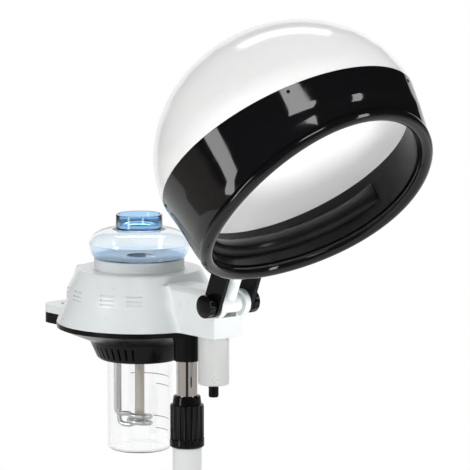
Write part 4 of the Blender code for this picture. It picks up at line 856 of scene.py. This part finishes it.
# %% [markdown]
# ## Mast and rolling base
# A chrome tube slides in a white column, and a ribbed collar clamps it. The base is a five-legged star on
# twin-cheek casters, which stay as the CAD has them with softened edges.

# %% Mast and base
low = -COLLAR_HEIGHT
band = low + COLLAR_BAND_HEIGHT
neck = -COLLAR_NECK_HEIGHT
on_mast = MAST_RADIUS + RUN
on_column = COLUMN_RADIUS + RUN
twist = [(on_mast, 0), (COLLAR_NECK_RADIUS - 1, 0), (COLLAR_NECK_RADIUS, -1)]
twist += [(COLLAR_NECK_RADIUS + 1.5, neck), (COLLAR_RIB_RADIUS - 0.6, neck - 1)]
twist += [(COLLAR_RIB_RADIUS, neck - 3), (COLLAR_RIB_RADIUS, band + 1), (COLLAR_BAND_RADIUS, band)]
twist += [(COLLAR_BAND_RADIUS, low + 2), (COLLAR_BAND_RADIUS - 2, low), (on_column, low)]
twist += [(on_column, -COLLAR_SHOULDER), (on_mast, -COLLAR_SHOULDER)]
bm = turned(twist, COLLAR_RIBS * 10)
flute(bm, COLLAR_RIB_RADIUS, COLLAR_RIBS, COLLAR_RIB_DEPTH)
rebuild("height_collar", bm, MAST)
for node, radius, wall, start, end in (
        ("column_tube", COLUMN_RADIUS, COLUMN_WALL, COLUMN_LOW - COLLAR_TOP, COLUMN_TOP),
        ("inner_mast", MAST_RADIUS, MAST_WALL, MAST_LOW, MAST_TOP)):
    tube = [(radius, start), (radius, end), (radius - wall, end), (radius - wall, start)]
    rebuild(node, turned(tube, TUBE_STEPS), MAST)
dress("collet_sleeve", 0.3)
dress("base_hub", 1.0)
for number in range(1, 6):
    dress(f"base_leg_{number}", 0.6)
    dress(f"caster_fork_{number}", 0.8)
    dress(f"caster_wheel_{number}", 0.8)
print("mast, collar, star base and casters")

# %% [markdown]
# ## Studio
# The photograph is a plain white studio shot. A white floor and a white surround carry the background. Soft
# lights to the left, to the right and high in front draw the highlights on the black ring, one behind edges
# the dome, and a low one shines into the hood.

# %% Floor, lights and camera
FLOOR_SIZE = 30.0
FLOOR_FADE_START = 0.3
FLOOR_FADE_END = 2.2
FLOOR_LEAST_WHITE = 0.15
SURROUND_GREY = 0.50
DARK_SIDE_RADIUS = 2.8
DARK_SIDE_EDGE = -0.8
WARM_GREY = (0.60, 0.55, 0.49)
NEAR_BLACK = (0.01, 0.01, 0.01)
CLOTH_STOPS = ((300.0, WARM_GREY), (620.0, WARM_GREY), (800.0, NEAR_BLACK), (900.0, NEAR_BLACK))
BLACK_STRIP_AWAY = 2.4
BLACK_STRIP_WIDTH = 1.2
BLACK_STRIP_HEIGHT = 0.8
MOUTH_FILL_SPREAD_DEG = 32.0
TARGET = Vector((0.0446, 0.0526, 0.8726))
CAMERA_AZIMUTH_DEG = 49.7
CAMERA_ELEVATION_DEG = 8.5
CAMERA_DISTANCE = 6.0
FOCAL_PIXELS = 4200.0
IMAGE_PIXELS = 470.0
SENSOR_WIDTH = 36.0

azimuth = math.radians(CAMERA_AZIMUTH_DEG)
elevation = math.radians(CAMERA_ELEVATION_DEG)
toward_camera = Vector((math.sin(azimuth), -math.cos(azimuth), 0))
to_right = Vector((math.cos(azimuth), math.sin(azimuth), 0))
back = toward_camera * math.cos(elevation) + Vector((0, 0, math.sin(elevation)))

bm = bmesh.new()
bmesh.ops.create_grid(bm, x_segments=8, y_segments=8, size=FLOOR_SIZE / 2)
bmesh.ops.translate(bm, vec=(0, 0, cad_box[0].z), verts=bm.verts)
floor_mesh = bpy.data.meshes.new("floor")
bm.to_mesh(floor_mesh)
bm.free()
floor = bpy.data.objects.new("floor", floor_mesh)
bpy.context.scene.collection.objects.link(floor)


def seen_directly(tree):
    """One for a ray from the camera, a mirror or glass, and nought for light that only bounces."""
    path = tree.nodes.new("ShaderNodeLightPath")
    direct = tree.nodes.new("ShaderNodeMath")
    direct.operation = "MAXIMUM"
    tree.links.new(path.outputs["Is Camera Ray"], direct.inputs[0])
    tree.links.new(path.outputs["Is Transmission Ray"], direct.inputs[1])
    any_view = tree.nodes.new("ShaderNodeMath")
    any_view.operation = "MAXIMUM"
    tree.links.new(direct.outputs["Value"], any_view.inputs[0])
    tree.links.new(path.outputs["Is Glossy Ray"], any_view.inputs[1])
    return any_view.outputs["Value"]


def floor_finish():
    """Pale near the object, where its shadow falls, and as white as the surround further off."""
    material = make_finish("studio_floor", (0.86, 0.86, 0.86), 0.7, shade=0.99, bump=0.02)
    tree = material.node_tree
    place = tree.nodes.new("ShaderNodeTexCoord")
    away = tree.nodes.new("ShaderNodeVectorMath")
    away.operation = "LENGTH"
    tree.links.new(place.outputs["Object"], away.inputs[0])
    fade = tree.nodes.new("ShaderNodeMapRange")
    fade.interpolation_type = "SMOOTHSTEP"
    fade.inputs["From Min"].default_value = FLOOR_FADE_START
    fade.inputs["From Max"].default_value = FLOOR_FADE_END
    fade.inputs["To Min"].default_value = FLOOR_LEAST_WHITE
    tree.links.new(away.outputs["Value"], fade.inputs["Value"])
    share = tree.nodes.new("ShaderNodeMath")
    share.operation = "MULTIPLY"
    tree.links.new(fade.outputs["Result"], share.inputs[0])
    tree.links.new(seen_directly(tree), share.inputs[1])
    white = tree.nodes.new("ShaderNodeEmission")
    choice = tree.nodes.new("ShaderNodeMixShader")
    tree.links.new(share.outputs["Value"], choice.inputs["Fac"])
    tree.links.new(tree.nodes["Principled BSDF"].outputs["BSDF"], choice.inputs[1])
    tree.links.new(white.outputs["Emission"], choice.inputs[2])
    tree.links.new(choice.outputs["Shader"], tree.nodes["Material Output"].inputs["Surface"])
    return material


floor_mesh.materials.append(floor_finish())


def hang(name, bm, material):
    """Hangs a cloth in the studio that only mirrors can see."""
    mesh = bpy.data.meshes.new(name)
    bm.to_mesh(mesh)
    bm.free()
    mesh.materials.append(material)
    cloth = bpy.data.objects.new(name, mesh)
    cloth.visible_camera = False
    cloth.visible_diffuse = False
    cloth.visible_transmission = False
    cloth.visible_shadow = False
    bpy.context.scene.collection.objects.link(cloth)


# The side of the studio behind the camera is dark, which is what keeps polished black black. It turns to a
# warm grey towards the floor, and the chrome tube shows that.
bm = bmesh.new()
bmesh.ops.create_uvsphere(bm, u_segments=64, v_segments=32, radius=DARK_SIDE_RADIUS)
bright = [face for face in bm.faces if face.calc_center_median().normalized().dot(back) < DARK_SIDE_EDGE]
bmesh.ops.delete(bm, geom=bright, context="FACES")
bmesh.ops.translate(bm, vec=TARGET, verts=bm.verts)
grey_cloth = make_finish("studio_cloth", NEAR_BLACK, 0.9, bump=0.2)
tint_by_height(grey_cloth, CLOTH_STOPS)
hang("dark_side", bm, grey_cloth)

# A black strip below the camera gives the chrome tube the dark band down its middle.
bm = bmesh.new()
bmesh.ops.create_grid(bm, x_segments=1, y_segments=1, size=0.5)
bmesh.ops.scale(bm, vec=(BLACK_STRIP_WIDTH, BLACK_STRIP_HEIGHT, 1), verts=bm.verts)
strip_place = Vector((TARGET.x, TARGET.y, BLACK_STRIP_HEIGHT / 2)) + toward_camera * BLACK_STRIP_AWAY
upright = toward_camera.to_track_quat("Z", "Y").to_matrix().to_4x4()
bmesh.ops.transform(bm, matrix=Matrix.Translation(strip_place) @ upright, verts=bm.verts)
hang("dark_strip", bm, make_finish("black_cloth", NEAR_BLACK, 0.9, bump=0.2))


def soft_light(name, right, near, height, width, tall, power, aim=TARGET):
    light = bpy.data.lights.new(name, "AREA")
    light.shape = "RECTANGLE"
    light.size = width
    light.size_y = tall
    light.energy = power
    lamp = bpy.data.objects.new(name, light)
    lamp.location = TARGET + to_right * right + toward_camera * near + Vector((0, 0, height))
    lamp.rotation_euler = (aim - lamp.location).to_track_quat("-Z", "Y").to_euler()
    bpy.context.scene.collection.objects.link(lamp)
    return lamp


soft_light("left_strip", right=-1.96, near=1.36, height=0.25, width=0.45, tall=1.3, power=15.0)
soft_light("front_softbox", right=0.42, near=1.9, height=1.62, width=0.9, tall=0.5, power=14.0)
soft_light("right_strip", right=1.9, near=0.9, height=0.6, width=0.3, tall=1.2, power=10.0)
soft_light("back_softbox", right=-0.1, near=-1.3, height=1.75, width=1.4, tall=0.4, power=10.0)
mouth_fill = soft_light("mouth_fill", right=0.42, near=1.05, height=-0.58, width=0.4, tall=0.4, power=1.1,
                        aim=HOOD.translation)
mouth_fill.data.spread = math.radians(MOUTH_FILL_SPREAD_DEG)
mouth_fill.visible_camera = False
mouth_fill.visible_glossy = False

world = bpy.data.worlds.new("white_studio")
world.use_nodes = True
bpy.context.scene.world = world
tree = world.node_tree
background = tree.nodes["Background"]
background.inputs["Color"].default_value = (SURROUND_GREY, SURROUND_GREY, SURROUND_GREY, 1.0)
seen = tree.nodes.new("ShaderNodeBackground")
seen.inputs["Color"].default_value = (1.0, 1.0, 1.0, 1.0)
choice = tree.nodes.new("ShaderNodeMixShader")
tree.links.new(seen_directly(tree), choice.inputs["Fac"])
tree.links.new(background.outputs["Background"], choice.inputs[1])
tree.links.new(seen.outputs["Background"], choice.inputs[2])
tree.links.new(choice.outputs["Shader"], tree.nodes["World Output"].inputs["Surface"])

camera = bpy.data.cameras.new("photo_camera")
camera.sensor_width = SENSOR_WIDTH
camera.lens = FOCAL_PIXELS * SENSOR_WIDTH / IMAGE_PIXELS
camera.clip_end = 100.0
viewer = bpy.data.objects.new("photo_camera", camera)
viewer.location = TARGET + back * CAMERA_DISTANCE
viewer.rotation_euler = (-back).to_track_quat("-Z", "Y").to_euler()
bpy.context.scene.collection.objects.link(viewer)
bpy.context.scene.camera = viewer
bpy.context.scene.view_settings.view_transform = "Standard"
print("floor, five soft lights and the camera")
